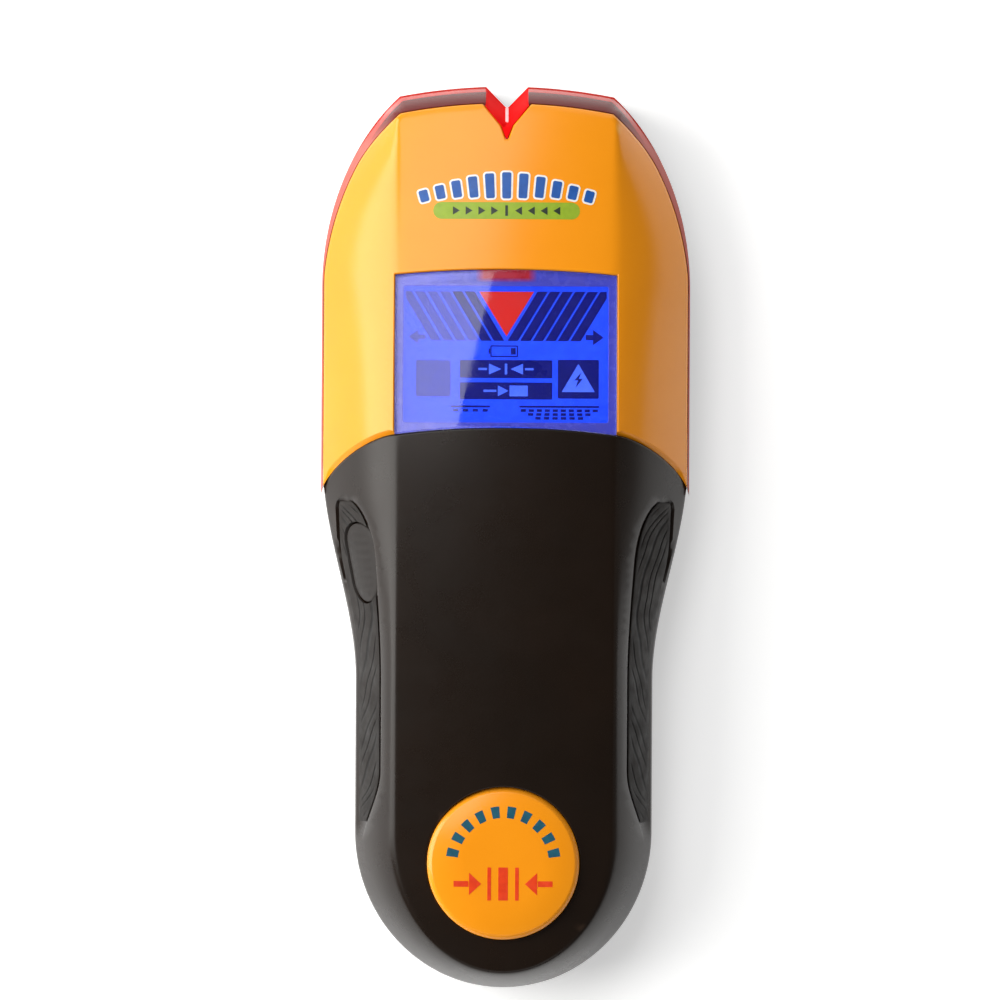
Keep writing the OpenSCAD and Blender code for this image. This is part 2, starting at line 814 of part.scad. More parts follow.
module crystal() {
    color("silver") translate([0, 24, board_z - 3.4]) {
        slot_block(3.4, 1.6, 5);
    }
}

sensor_z = 4.4;
sensor_t = 1;
module sensor_board() {
    color("seagreen") translate([0, 0, sensor_z]) linear_extrude(sensor_t) difference() {
        polygon([[-27, 22], [27, 22], [27, 60], [18, 74], [-18, 74], [-27, 60]]);
        for (k = [0 : 1]) translate(screw_spots[k]) circle(d = boss_d + 4, $fn = 48);
        for (p = board_screw_spots) translate(p) circle(d = 6, $fn = 48);
    }
}

module sensor_plates() {
    plate_t = 0.3;
    for (x = [-23, -7, 7, 23])
        color("chocolate") translate([x - 2.6, 27, sensor_z - plate_t]) cube([5.2, 23, plate_t]);
}

module board_header() {
    pins = 6;
    pitch = 2;
    y = 47;
    base = 2;
    color([0.1, 0.1, 0.1]) centred_block(pins * pitch, 2, y, sensor_z + sensor_t, base);
    for (k = [0 : pins - 1])
        color("gold") translate([(k - (pins - 1) / 2) * pitch - 0.3, y - 0.3, sensor_z + sensor_t + base])
            cube([0.6, 0.6, board_z - sensor_z - sensor_t - base]);
}

module buzzer() {
    y = 0;
    color([0.12, 0.12, 0.12]) translate([2, y, switch_z]) difference() {
        cylinder(h = 6.5, d = 14, $fn = 64);
        translate([0, 0, 5.5]) cylinder(h = 2, d = 2.4, $fn = 32);
    }
}

// ---- Pointer light ----

led_y = 68;
led_z = 16.5;
module pointer_led() {
    color("tomato") translate([0, led_y, led_z]) rotate([-90, 0, 0]) {
        cylinder(h = 1, d = 5.8, $fn = 48);
        translate([0, 0, 1]) cylinder(h = 4, d = 5, $fn = 48);
        for (s = [-1, 1]) translate([s * 1.27, 0, -12.6]) cylinder(h = 12.6, d = 0.6, $fn = 16);
    }
    for (s = [-1, 1])
        color("silver") translate([s * 1.27, led_y - 12.3, switch_z]) cylinder(h = led_z - switch_z, d = 0.6, $fn = 16);
}

// Clear blade that carries the light from the lamp to the slit in the notch
module beam_guide() {
    color([0.95, 0.85, 0.85]) blade(0);
}

// ---- Battery ----

battery_end = battery_y + battery_size[1];
module battery() {
    corner = 2;
    half = battery_size[0] / 2;
    color([0.25, 0.27, 0.3]) translate([0, battery_y, battery_z]) rotate([-90, 0, 0]) mirror([0, 1, 0])
        linear_extrude(battery_size[1]) {
            translate([-half, corner]) square([battery_size[0], battery_size[2] - 2 * corner]);
            translate([-half + corner, 0]) square([battery_size[0] - 2 * corner, battery_size[2]]);
            for (x = [-1, 1], z = [corner, battery_size[2] - corner])
                translate([x * (half - corner), z]) circle(r = corner, $fn = 32);
        }
}

terminal_x = 6.35;
terminal_z = battery_z + battery_size[2] / 2;
module battery_terminals() {
    color("silver") {
        translate([-terminal_x, battery_end, terminal_z]) rotate([-90, 0, 0]) cylinder(h = 1.9, d = 5.6, $fn = 48);
        translate([terminal_x, battery_end, terminal_z]) rotate([-90, 0, 0]) difference() {
            cylinder(h = 1.9, d = 7.6, $fn = 6);
            translate([0, 0, 0.6]) cylinder(h = 2, d = 5, $fn = 48);
        }
    }
}

snap_y = battery_end + 2;
module battery_snap() {
    color([0.1, 0.1, 0.1]) translate([-12.5, snap_y, terminal_z - 6]) cube([25, 2.6, 12]);
}

module snap_contacts() {
    for (x = [-terminal_x, terminal_x])
        color("silver") translate([x, snap_y + 2.6, terminal_z]) rotate([-90, 0, 0]) cylinder(h = 0.5, d = 3, $fn = 32);
}

// Wire of diameter d along points, as one closed tube
module wire(path, d) {
    sides = 8;
    n = len(path);
    function along(k) = let (v = path[min(k + 1, n - 1)] - path[max(k - 1, 0)]) v / norm(v);
    function across(k) = let (t = along(k), u = cross(t, [1, 0, 0])) u / norm(u);
    points = [
        for (k = [0 : n - 1])
            for (s = [0 : sides - 1])
                let (a = 360 * s / sides, u = across(k), v = cross(along(k), u))
                path[k] + d / 2 * (u * cos(a) + v * sin(a))
    ];
    polyhedron(
        points = points,
        faces = concat(
            [for (k = [0 : n - 2]) for (s = [0 : sides - 1])
                let (a = k * sides + s, b = k * sides + (s + 1) % sides)
                each [[a, b + sides, b], [a, a + sides, b + sides]]],
            [[for (s = [0 : sides - 1]) s]],
            [[for (s = [0 : sides - 1]) (n - 1) * sides + sides - 1 - s]]
        )
    );
}

// Route of a battery lead, from the snap to the underside of the main board, on side s
function lead_route(s) = [
    [s * 5, snap_y + 3.1, 11.4], [s * 5, -24, 11.2], [s * 5.4, -21.5, 10.2], [s * 6, -18.5, 8.8],
    [s * 6.6, -15, 8], [s * 7, -11.5, 8.2], [s * 7, -9.2, 9.4], [s * 7, -8.4, 11.2], [s * 7, -8.2, 12.95]
];

module positive_lead() {
    color("red") wire(lead_route(1), lead_d);
}

module negative_lead() {
    color("black") wire(lead_route(-1), lead_d);
}

module housing_screws() {
    head_t = 1.7;
    shank_l = 9;
    cross = [3, 0.6, 1.2];
    for (p = screw_spots) color("silver") translate([p[0], p[1], well_z]) difference() {
        union() {
            translate([0, 0, -head_t]) cylinder(h = head_t, d = screw_head_d, $fn = 48);
            cylinder(h = shank_l, d = pilot_d - 0.02, $fn = 32);
        }
        for (turn = [0, 90]) rotate([0, 0, turn])
            translate([-cross[0] / 2, -cross[1] / 2, -head_t - 0.3]) cube(cross);
    }
}

back_housing();
top_cover();
handle_cover();
nose_lens();
display_window();
left_grip();
right_grip();
badge_disc();
lcd_glass();
lcd_frame();
backlight_panel();
lcd_contact_strips();
backlight_leds();
main_board();
microcontroller();
surface_parts();
capacitors();
crystal();
sensor_board();
sensor_plates();
board_header();
buzzer();
pointer_led();
beam_guide();
power_switch();
switch_plunger();
power_button();
battery();
battery_terminals();
battery_snap();
snap_contacts();
positive_lead();
negative_lead();
battery_door();
housing_screws();
board_screws();
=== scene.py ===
import math
import bmesh
import bpy
import numpy as np
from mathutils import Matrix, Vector, kdtree
from mathutils.geometry import delaunay_2d_cdt


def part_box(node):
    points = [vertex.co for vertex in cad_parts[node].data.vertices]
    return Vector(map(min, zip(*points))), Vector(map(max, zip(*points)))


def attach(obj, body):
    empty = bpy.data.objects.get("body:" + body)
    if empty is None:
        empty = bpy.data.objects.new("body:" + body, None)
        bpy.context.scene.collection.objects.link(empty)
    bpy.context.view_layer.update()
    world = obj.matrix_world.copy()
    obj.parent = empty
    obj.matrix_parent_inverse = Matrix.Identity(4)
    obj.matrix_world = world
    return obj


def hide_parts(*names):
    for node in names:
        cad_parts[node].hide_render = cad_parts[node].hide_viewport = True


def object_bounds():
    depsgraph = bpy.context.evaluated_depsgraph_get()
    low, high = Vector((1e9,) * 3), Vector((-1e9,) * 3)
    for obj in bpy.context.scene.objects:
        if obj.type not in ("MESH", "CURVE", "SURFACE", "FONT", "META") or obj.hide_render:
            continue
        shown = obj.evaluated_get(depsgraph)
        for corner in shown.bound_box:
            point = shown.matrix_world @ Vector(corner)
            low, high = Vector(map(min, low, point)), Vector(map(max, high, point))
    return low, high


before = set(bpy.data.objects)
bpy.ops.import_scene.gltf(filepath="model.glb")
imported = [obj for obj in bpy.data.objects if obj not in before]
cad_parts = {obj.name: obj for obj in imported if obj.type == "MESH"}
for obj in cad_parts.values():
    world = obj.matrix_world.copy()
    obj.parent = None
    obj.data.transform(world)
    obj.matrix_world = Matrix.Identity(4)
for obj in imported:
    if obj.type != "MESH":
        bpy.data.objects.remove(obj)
cad_lo, cad_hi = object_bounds()

# Shapes are worked out in millimetres in the CAD's frame, and scaled to metres as they are built.
# Along the body, +Y is the nose and -Y the tail; the display faces +Z.
MM = 0.001


def mm_box(node):
    lo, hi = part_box(node)
    return np.array(lo) / MM, np.array(hi) / MM


# ---------------------------------------------------------------- sizes taken from the frame
HEAD_W = (cad_hi.x - cad_lo.x) / MM
# The notch cuts off the very tip of the nose's arc, so the arc reaches a little past the box
TIP_PAST_BOX = 0.07
NOSE_Y = cad_hi.y / MM + TIP_PAST_BOX
TAIL_Y = cad_lo.y / MM
BODY_H = cad_hi.z / MM
DOOR_LO, DOOR_HI = mm_box("battery_door")
HOUSING_LO, HOUSING_HI = mm_box("back_housing")
WINDOW_LO, WINDOW_HI = mm_box("display_window")
LCD_LO, LCD_HI = mm_box("lcd_glass")
BADGE_LO, BADGE_HI = mm_box("badge_disc")
BUTTON_LO, BUTTON_HI = mm_box("power_button")
BLADE_LO, BLADE_HI = mm_box("beam_guide")
HANDLE_W = DOOR_HI[0] - DOOR_LO[0]
PART_Z = HOUSING_HI[2]
CREASE_X = WINDOW_HI[0]
WINDOW_Y0, WINDOW_Y1 = WINDOW_LO[1], WINDOW_HI[1]
BADGE_Y = (BADGE_LO[1] + BADGE_HI[1]) / 2
BADGE_R = (BADGE_HI[0] - BADGE_LO[0]) / 2

# Clearance round the power button, and the stretch in X that its opening is cut through
BUTTON_GAP = 0.25
BUTTON_SLOT_X = (cad_lo.x / MM - 5, BUTTON_HI[0] - 2)

# ---------------------------------------------------------------- sizes that the boxes don't hold
# The head's sides are straight up to HEAD_Y, then an ellipse whose top lies HEAD_OVER past the nose
HEAD_Y = 47.0
HEAD_OVER = 6.5
HEAD_B = NOSE_Y - HEAD_Y + HEAD_OVER
# Lowest point of the yellow cover, and the stretch where the handle narrows
JOINT_Y = 8.0
WAIST_TOP, WAIST_END = 14.0, -27.0
# The round tail starts here
TAIL_C = -56.0
HANDLE_TOP_W = HEAD_W - 0.6
# Corner between the nose's arc and the head's side
CORNER_X = CREASE_X - 0.4
CORNER_Y = HEAD_Y + HEAD_B * math.sqrt(1 - (2 * CORNER_X / HEAD_W) ** 2)
# How far the sloped nose face leans back, the heights at its top and at the tail, and the summit
NOSE_SLOPE = 4.0
NOSE_H, TAIL_H = 22.5, 27.0
SUMMIT_Y = 10.0
# Rise of the centre panel's middle over its edges
CROWN = 1.5
# Height of the side walls, how far the facets bulge, and the softness of the crease between them
SIDE_Z, NOSE_SIDE_Z = 15.0, 12.5
BULGE = 0.5
CREASE_SOFT = 0.5
TAIL_BEVEL = 3.7
NOTCH_HALF, NOTCH_D = 4.0, 4.2
WINDOW_ARCH, COVER_ARCH = 1.0, 1.4
# Gap between neighbouring shells, and where the battery door starts
SEAM = 0.1
DOOR_Y = -31.0


def smooth(t):
    t = np.clip(t, 0.0, 1.0)
    return t * t * (3 - 2 * t)


def lerp(a, b, t):
    return a + (b - a) * t


def root(t):
    return np.sqrt(np.clip(t, 0.0, None))


# ---------------------------------------------------------------- outline of the body
def half_w(y, head):
    """Half width of the body at y, of the head or of the handle."""
    y = np.asarray(y, float)
    nose = HEAD_W / 2 * root(1 - ((y - HEAD_Y) / HEAD_B) ** 2)
    waist = lerp(HANDLE_TOP_W, HANDLE_W, smooth((WAIST_TOP - y) / (WAIST_TOP - WAIST_END))) / 2
    tail = HANDLE_W / 2 * root(1 - ((TAIL_C - y) / (TAIL_C - TAIL_Y)) ** 2)
    below = np.full_like(y, HEAD_W / 2) if head else np.where(y > TAIL_C, waist, tail)
    return np.where(y > HEAD_Y, nose, below)


def crease_w(y):
    """Half width of the centre panel at y."""
    y = np.asarray(y, float)
    tail = CREASE_X * root(1 - ((TAIL_C - y) / (TAIL_C - TAIL_Y - TAIL_BEVEL)) ** 2)
    return np.where(y > TAIL_C, CREASE_X, tail)


def nose_edge(x):
    return NOSE_Y - (NOSE_Y - CORNER_Y) * (np.asarray(x) / CORNER_X) ** 2


def side_points(y0, y1, head, step=0.8, inward=lambda y: 0.0):
    """Points down the right side from y0 to y1, or up it, moved in by inward(y)."""
    count = max(2, int(abs(y1 - y0) / step))
    return [(float(half_w(y, head)) - inward(y), y) for y in np.linspace(y0, y1, count)]


def tail_points(rx, ry, count=64):
    angles = np.linspace(0, math.pi / 2, count)
    return [(rx * math.cos(a), TAIL_C - ry * math.sin(a)) for a in angles]


def nose_points(x0, x1, back, step=0.8):
    count = max(2, int(abs(x1 - x0) / step))
    return [(x, float(nose_edge(x)) - back) for x in np.linspace(x0, x1, count)]


def closed(half):
    """Closed loop from its right half, which starts and ends on or near the middle line."""
    left = [(-x, y) for x, y in reversed(half)]
    return tidy_loop(list(half) + left)


def tidy_loop(points, least=0.02):
    """The same loop without points that repeat."""
    kept = []
    for p in points:
        if not kept or math.dist(p, kept[-1]) > least:
            kept.append(p)
    while math.dist(kept[0], kept[-1]) <= least:
        kept.pop()
    return np.array(kept, float)


def dense(points, step=0.8):
    """The same open line with points added so that none are further apart than step."""
    out = []
    for a, b in zip(points[:-1], points[1:]):
        count = max(1, math.ceil(math.dist(a, b) / step))
        out += [tuple(lerp(np.array(a), np.array(b), k / count)) for k in range(count)]
    return out + [points[-1]]


def signed_area(loop):
    x, y = loop[:, 0], loop[:, 1]
    return 0.5 * float(np.sum(x * np.roll(y, -1) - np.roll(x, -1) * y))


def turned(loop, left):
    """The loop running anticlockwise if left, else clockwise."""
    loop = np.asarray(loop, float)
    return loop if (signed_area(loop) > 0) == left else loop[::-1]


def inset(loop, d):
    """Moves a loop's points to their left by d, which may differ from point to point."""
    ahead = np.roll(loop, -1, 0) - loop
    ahead /= np.maximum(np.linalg.norm(ahead, axis=1, keepdims=True), 1e-9)
    normal = np.stack([-ahead[:, 1], ahead[:, 0]], 1)
    mitre = normal + np.roll(normal, 1, 0)
    mitre /= np.maximum(np.linalg.norm(mitre, axis=1, keepdims=True), 1e-9)
    stretch = 1 / np.clip(np.sum(mitre * normal, axis=1), 0.6, 1)
    return loop + mitre * (np.broadcast_to(d, len(loop)) * stretch)[:, None]


def inside(loop, pts):
    """Which points lie inside a closed loop."""
    x, y = pts[:, 0], pts[:, 1]
    hit = np.zeros(len(pts), bool)
    x0, y0 = loop[-1]
    for x1, y1 in loop:
        if y0 != y1:
            hit ^= ((y1 > y) != (y0 > y)) & (x < (x0 - x1) * (y - y1) / (y0 - y1) + x1)
        x0, y0 = x1, y1
    return hit


def nearest(loop, pts, chunk=500):
    """For each point its distance to a closed loop, and the nearest place on it."""
    a, b = loop, np.roll(loop, -1, 0)
    ab = b - a
    length2 = np.maximum(np.sum(ab * ab, 1), 1e-12)
    dist, place = np.empty(len(pts)), np.empty((len(pts), 2))
    for k in range(0, len(pts), chunk):
        p = pts[k:k + chunk, None, :]
        t = np.clip(np.sum((p - a) * ab, 2) / length2, 0, 1)
        q = a + t[..., None] * ab
        d2 = np.sum((p - q) ** 2, 2)
        best = np.argmin(d2, 1)
        rows = np.arange(len(best))
        dist[k:k + chunk] = np.sqrt(d2[rows, best])
        place[k:k + chunk] = q[rows, best]
    return dist, place


RIM_RIGHT = (nose_points(0, CORNER_X, 0)
             + side_points(CORNER_Y, TAIL_C, True)[1:])
HANDLE_RIM_RIGHT = (nose_points(0, CORNER_X, 0)
                    + side_points(CORNER_Y, TAIL_C, False)[1:]
                    + tail_points(HANDLE_W / 2, TAIL_C - TAIL_Y)[1:])
CREASE_RIGHT = ([(x * CREASE_X / CORNER_X, y) for x, y in nose_points(0, CORNER_X, NOSE_SLOPE)]
                + dense([(CREASE_X, CORNER_Y - NOSE_SLOPE - 0.8), (CREASE_X, TAIL_C)])
                + tail_points(CREASE_X, TAIL_C - TAIL_Y - TAIL_BEVEL)[1:])
RIM = closed(RIM_RIGHT + [(HEAD_W / 2, TAIL_Y), (0, TAIL_Y)])
HANDLE_RIM = closed(HANDLE_RIM_RIGHT)
CREASE = closed(CREASE_RIGHT)


# ---------------------------------------------------------------- height of the front surface
def crest(y):
    nose = (BODY_H - NOSE_H) * ((y - SUMMIT_Y) / (NOSE_Y - NOSE_SLOPE - SUMMIT_Y)) ** 2
    tail = (BODY_H - TAIL_H) * ((SUMMIT_Y - y) / (SUMMIT_Y - TAIL_Y)) ** 2
    return BODY_H - np.where(y > SUMMIT_Y, nose, tail)


def panel_z(x, y):
    return crest(y) - CROWN * (x / CREASE_X) ** 2


def side_top(y):
    return lerp(SIDE_Z, NOSE_SIDE_Z, smooth((y - HEAD_Y) / (CORNER_Y - HEAD_Y)))


def soft_min(a, b, k):
    h = np.clip(k - np.abs(a - b), 0, None) / k
    return np.minimum(a, b) - h * h * k / 4


def front_z(pts, head=True):
    """Height of the display side: crowned centre panel, and facets that fall to the side walls."""
    pts = np.asarray(pts, float)
    to_rim, rim = nearest(RIM if head else HANDLE_RIM, pts)
    to_crease, crease = nearest(CREASE, pts)
    to_crease = np.where(inside(CREASE, pts), -to_crease, to_crease)
    share = np.clip(to_rim / np.maximum(to_rim + to_crease, 1e-6), 0, 1.5)
    low, high = side_top(rim[:, 1]), panel_z(crease[:, 0], crease[:, 1])
    facet = low + (high - low) * share * (1 + BULGE * (1 - share))
    panel = panel_z(pts[:, 0], pts[:, 1])
    return np.where(share >= 1.5, panel, soft_min(facet, panel, CREASE_SOFT))


def side_share(x, y):
    """0 at the handle's side and 1 at the crease, straight across."""
    edge = half_w(y, False)
    return (edge - np.abs(x)) / np.maximum(edge - crease_w(y), 1e-6)


# The scoops hold the grips. Their edges are shares of the facet, from the side wall to the crease.
SCOOP_TOP_Y, SCOOP_RUN, SCOOP_END_Y = 7.5, 13.0, -58.0
SCOOP_LOW_TOP, SCOOP_LOW, SCOOP_RISE, SCOOP_HIGH = 0.14, 0.045, 0.27, 0.7
SCOOP_ROUND = 2.4
SCOOP_EDGE, SCOOP_D = 0.05, 1.2


def scoop_low(y):
    """Share of the facet where the scoop starts. It closes in on the side wall below its top end."""
    side = lerp(SCOOP_LOW, SCOOP_LOW_TOP, smooth((y + 6) / 13))
    t = np.clip((SCOOP_TOP_Y - y) / SCOOP_ROUND, 0, 1)
    return lerp(SCOOP_RISE, side, np.sqrt(1 - (1 - t) ** 2))


def scoop_high(y):
    """Share of the facet where the grip's scoop ends, seen across the handle at y."""
    t = np.clip((SCOOP_TOP_Y - y) / SCOOP_RUN, 0, 1)
    high = lerp(SCOOP_RISE, SCOOP_HIGH, np.sqrt(1 - (1 - t) ** 2.2))
    return high - 0.5 * smooth((-44 - y) / 16)


def scoop_depth(x, y):
    share = side_share(x, y)
    over = smooth((share - scoop_low(y)) / SCOOP_EDGE)
    under = smooth((scoop_high(y) - share) / SCOOP_EDGE)
    ends = smooth((SCOOP_TOP_Y - y) / 0.8) * smooth((y - SCOOP_END_Y) / 4)
    return SCOOP_D * over * under * ends


def handle_z(pts):
    return front_z(pts, False) - scoop_depth(pts[:, 0], pts[:, 1])


# ---------------------------------------------------------------- mesh making
SHARP_ANGLE = math.radians(38)


def add_piece(name, verts, faces, material, body="casing", slot=None, stands_for=(), sharp=SHARP_ANGLE):
    """Mesh piece from millimetre points, with its normals outward, that rides on a CAD body."""
    mesh = bpy.data.meshes.new(name)
    mesh.from_pydata([tuple(v) for v in np.asarray(verts, float) * MM], [], [tuple(f) for f in faces])
    bm = bmesh.new()
    bm.from_mesh(mesh)
    bmesh.ops.remove_doubles(bm, verts=bm.verts, dist=1e-7)
    bmesh.ops.dissolve_degenerate(bm, edges=bm.edges, dist=1e-8)
    bmesh.ops.recalc_face_normals(bm, faces=bm.faces)
    bm.to_mesh(mesh)
    bm.free()
    for p in mesh.polygons:
        p.use_smooth = True
    mesh.set_sharp_from_angle(angle=sharp)
    mesh.materials.append(material)
    obj = bpy.data.objects.new(name, mesh)
    bpy.context.scene.collection.objects.link(obj)
    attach(obj, body)
    if stands_for:
        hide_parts(*stands_for)
    return obj


def fill(loops, spacing, rows=()):
    """Triangles over a region: its loops, points in rows, and an even grid."""
    points = np.concatenate(loops)
    edges, start = [], 0
    for loop in loops:
        count = len(loop)
        edges += [(start + k, start + (k + 1) % count) for k in range(count)]
        start += count

    def within(p, clear):
        keep = inside(loops[0], p)
        for hole in loops[1:]:
            keep &= ~inside(hole, p)
        p = p[keep]
        for loop in loops:
            if len(p):
                p = p[nearest(loop, p)[0] > clear]
        return p

    for row in rows:
        row = within(np.asarray(row, float), 0.45 * spacing)
        points = np.concatenate([points, row])
    lo, hi = loops[0].min(0), loops[0].max(0)
    ys = np.arange(lo[1], hi[1], spacing * math.sqrt(3) / 2)
    grid = np.array([(x + (k % 2) * spacing / 2, y)
                     for k, y in enumerate(ys) for x in np.arange(lo[0], hi[0], spacing)])
    grid = within(grid, 0.6 * spacing)
    tree = kdtree.KDTree(len(points))
    for k, p in enumerate(points):
        tree.insert((p[0], p[1], 0), k)
    tree.balance()
    grid = [p for p in grid if tree.find((p[0], p[1], 0))[2] > 0.6 * spacing]
    if grid:
        points = np.concatenate([points, np.array(grid)])
    made = delaunay_2d_cdt([Vector(p) for p in points], edges, [], 0, 1e-5)
    out = np.array([tuple(v) for v in made[0]])
    index = {i: k for k, originals in enumerate(made[3]) for i in originals}
    tris = np.array([tuple(f) for f in made[2]])
    middle = out[tris].mean(1)
    keep = inside(loops[0], middle)
    for hole in loops[1:]:
        keep &= ~inside(hole, middle)
    return out, [tuple(t) for t in tris[keep]], index


# Steps round an edge, and the flat margin inside it that keeps its shading clean
EDGE_STEPS = 4
EDGE_HOLD = 0.15


def plate(name, loops, height, material, edge=0.3, thick=1.6, spacing=1.2, skirt=None, wall=1.8,
          rows=(), up=1, place=None, hold=EDGE_HOLD, chamfer=False, **kind):
    """Closed solid over a plan. Its face follows height, its edges are rounded or chamfered, and its
    walls go down by thick, or to the skirt's height with a wall of that thickness inside it."""
    loops = [turned(loop, k == 0) for k, loop in enumerate(loops)]
    radius = edge if callable(edge) else lambda p: np.full(len(p), float(edge))
    rounds = [radius(loop) for loop in loops]
    inner = [inset(loop, r + hold) for loop, r in zip(loops, rounds)]
    plan, tris, index = fill(inner, spacing, rows)
    tops = height(plan)
    count = len(plan)
    verts = [np.column_stack([plan, tops]), np.column_stack([plan, tops - thick * up])]
    faces = [t for t in tris] + [(c + count, b + count, a + count) for a, b, c in tris]
    total, first = 2 * count, 0
    for loop, r in zip(loops, rounds):
        n = len(loop)
        chain = [[index[first + k] for k in range(n)]]
        first += n

        def ring(points, z):
            nonlocal total
            verts.append(np.column_stack([points, z]))
            chain.append(list(range(total, total + n)))
            total += n

        for s in range(EDGE_STEPS + 1):
            share = s / EDGE_STEPS
            a = math.pi / 2 * share
            out, down = (share, share) if chamfer else (math.sin(a), 1 - math.cos(a))
            moved = inset(loop, r * (1 - out))
            ring(moved, height(moved) - up * r * down)
        base = height(loop) - up * thick if skirt is None else np.full(n, float(skirt))
        ring(loop, base)
        if skirt is not None:
            ring(inset(loop, wall), base)
        chain.append([k + count for k in chain[0]])
        for upper, lower in zip(chain[:-1], chain[1:]):
            faces += [(upper[k], lower[k], lower[(k + 1) % n], upper[(k + 1) % n]) for k in range(n)]
    verts = np.concatenate(verts)
    if place:
        verts = place(verts)
    return add_piece(name, verts, faces, material, **kind)


def flat(z):
    return lambda pts: np.full(len(pts), float(z))


def grid_piece(name, top, bottom, material, **kind):
    """Closed solid between two grids of points with the same rows and columns."""
    rows, columns = top.shape[:2]
    count = rows * columns

    def at(r, c, below):
        return r * columns + c + below * count

    faces = []
    for r in range(rows - 1):
        for c in range(columns - 1):
            faces.append((at(r, c, 0), at(r, c + 1, 0), at(r + 1, c + 1, 0), at(r + 1, c, 0)))
            faces.append((at(r, c, 1), at(r + 1, c, 1), at(r + 1, c + 1, 1), at(r, c + 1, 1)))
    border = ([(0, c) for c in range(columns - 1)] + [(r, columns - 1) for r in range(rows - 1)]
              + [(rows - 1, c) for c in range(columns - 1, 0, -1)] + [(r, 0) for r in range(rows - 1, 0, -1)])
    for (r, c), (r2, c2) in zip(border, border[1:] + border[:1]):
        faces.append((at(r, c, 0), at(r, c, 1), at(r2, c2, 1), at(r2, c2, 0)))
    verts = np.concatenate([top.reshape(-1, 3), bottom.reshape(-1, 3)])
    return add_piece(name, verts, faces, material, **kind)


def lathe(name, profile, centre, material, steps=96, **kind):
    """Closed solid turned round a vertical line through centre. profile is [(radius, z)]."""
    verts, rings = [], []
    for r, z in profile:
        if r == 0:
            rings.append([len(verts)] * steps)
            verts.append((centre[0], centre[1], z))
            continue
        rings.append(list(range(len(verts), len(verts) + steps)))
        verts += [(centre[0] + r * math.cos(2 * math.pi * k / steps),
                   centre[1] + r * math.sin(2 * math.pi * k / steps), z) for k in range(steps)]
    faces = []
    for a, b in zip(rings[:-1], rings[1:]):
        for k in range(steps):
            m = (k + 1) % steps
            quad = [a[k], b[k], b[m], a[m]]
            faces.append(tuple(dict.fromkeys(quad)))
    return add_piece(name, verts, faces, material, **kind)


def circle(x, y, r, count=72):
    angles = np.linspace(0, 2 * math.pi, count, endpoint=False)
    return np.array([(x + r * math.cos(a), y + r * math.sin(a)) for a in angles])


def rounded_box_loop(x0, x1, y0, y1, r, steps=5):
    """Rectangle with round corners, as a loop."""
    corners = [(x1 - r, y1 - r, 0), (x0 + r, y1 - r, 90), (x0 + r, y0 + r, 180), (x1 - r, y0 + r, 270)]
    points = []
    for cx, cy, start in corners:
        for k in range(steps + 1):
            a = math.radians(start + 90 * k / steps)
            points.append((cx + r * math.cos(a), cy + r * math.sin(a)))
    return tidy_loop(points)


def cut(obj, cutter_verts, cutter_faces):
    """Cuts a closed shape out of a piece."""
    mesh = bpy.data.meshes.new("cutter")
    mesh.from_pydata([tuple(v) for v in np.asarray(cutter_verts, float) * MM], [], cutter_faces)
    bm = bmesh.new()
    bm.from_mesh(mesh)
    bmesh.ops.recalc_face_normals(bm, faces=bm.faces)
    bm.to_mesh(mesh)
    bm.free()
    cutter = bpy.data.objects.new("cutter", mesh)
    bpy.context.scene.collection.objects.link(cutter)
    modifier = obj.modifiers.new("cut", "BOOLEAN")
    modifier.object = cutter
    modifier.operation = "DIFFERENCE"
    modifier.solver = "EXACT"
    bpy.context.view_layer.update()
    result = bpy.data.meshes.new_from_object(obj.evaluated_get(bpy.context.evaluated_depsgraph_get()))
    obj.modifiers.clear()
    obj.data = result
    for p in result.polygons:
        p.use_smooth = True
    result.set_sharp_from_angle(angle=SHARP_ANGLE)
    bpy.data.objects.remove(cutter)


def prism(loop, low, high, axes=(0, 1, 2)):
    """Points and faces of a flat loop extruded from low to high, with its axes put in another order."""
    n = len(loop)
    points = np.array([(*p, low) for p in loop] + [(*p, high) for p in loop])
    moved = np.empty_like(points)
    for k, axis in enumerate(axes):
        moved[:, axis] = points[:, k]
    faces = [tuple(range(n - 1, -1, -1)), tuple(range(n, 2 * n))]
    faces += [(k, (k + 1) % n, (k + 1) % n + n, k + n) for k in range(n)]
    return moved, faces


# ---------------------------------------------------------------- materials
def srgb(r, g, b):
    """Colour from its 0 to 255 screen values."""
    def linear(v):
        v /= 255
        return v / 12.92 if v <= 0.04045 else ((v + 0.055) / 1.055) ** 2.4
    return (linear(r), linear(g), linear(b), 1)


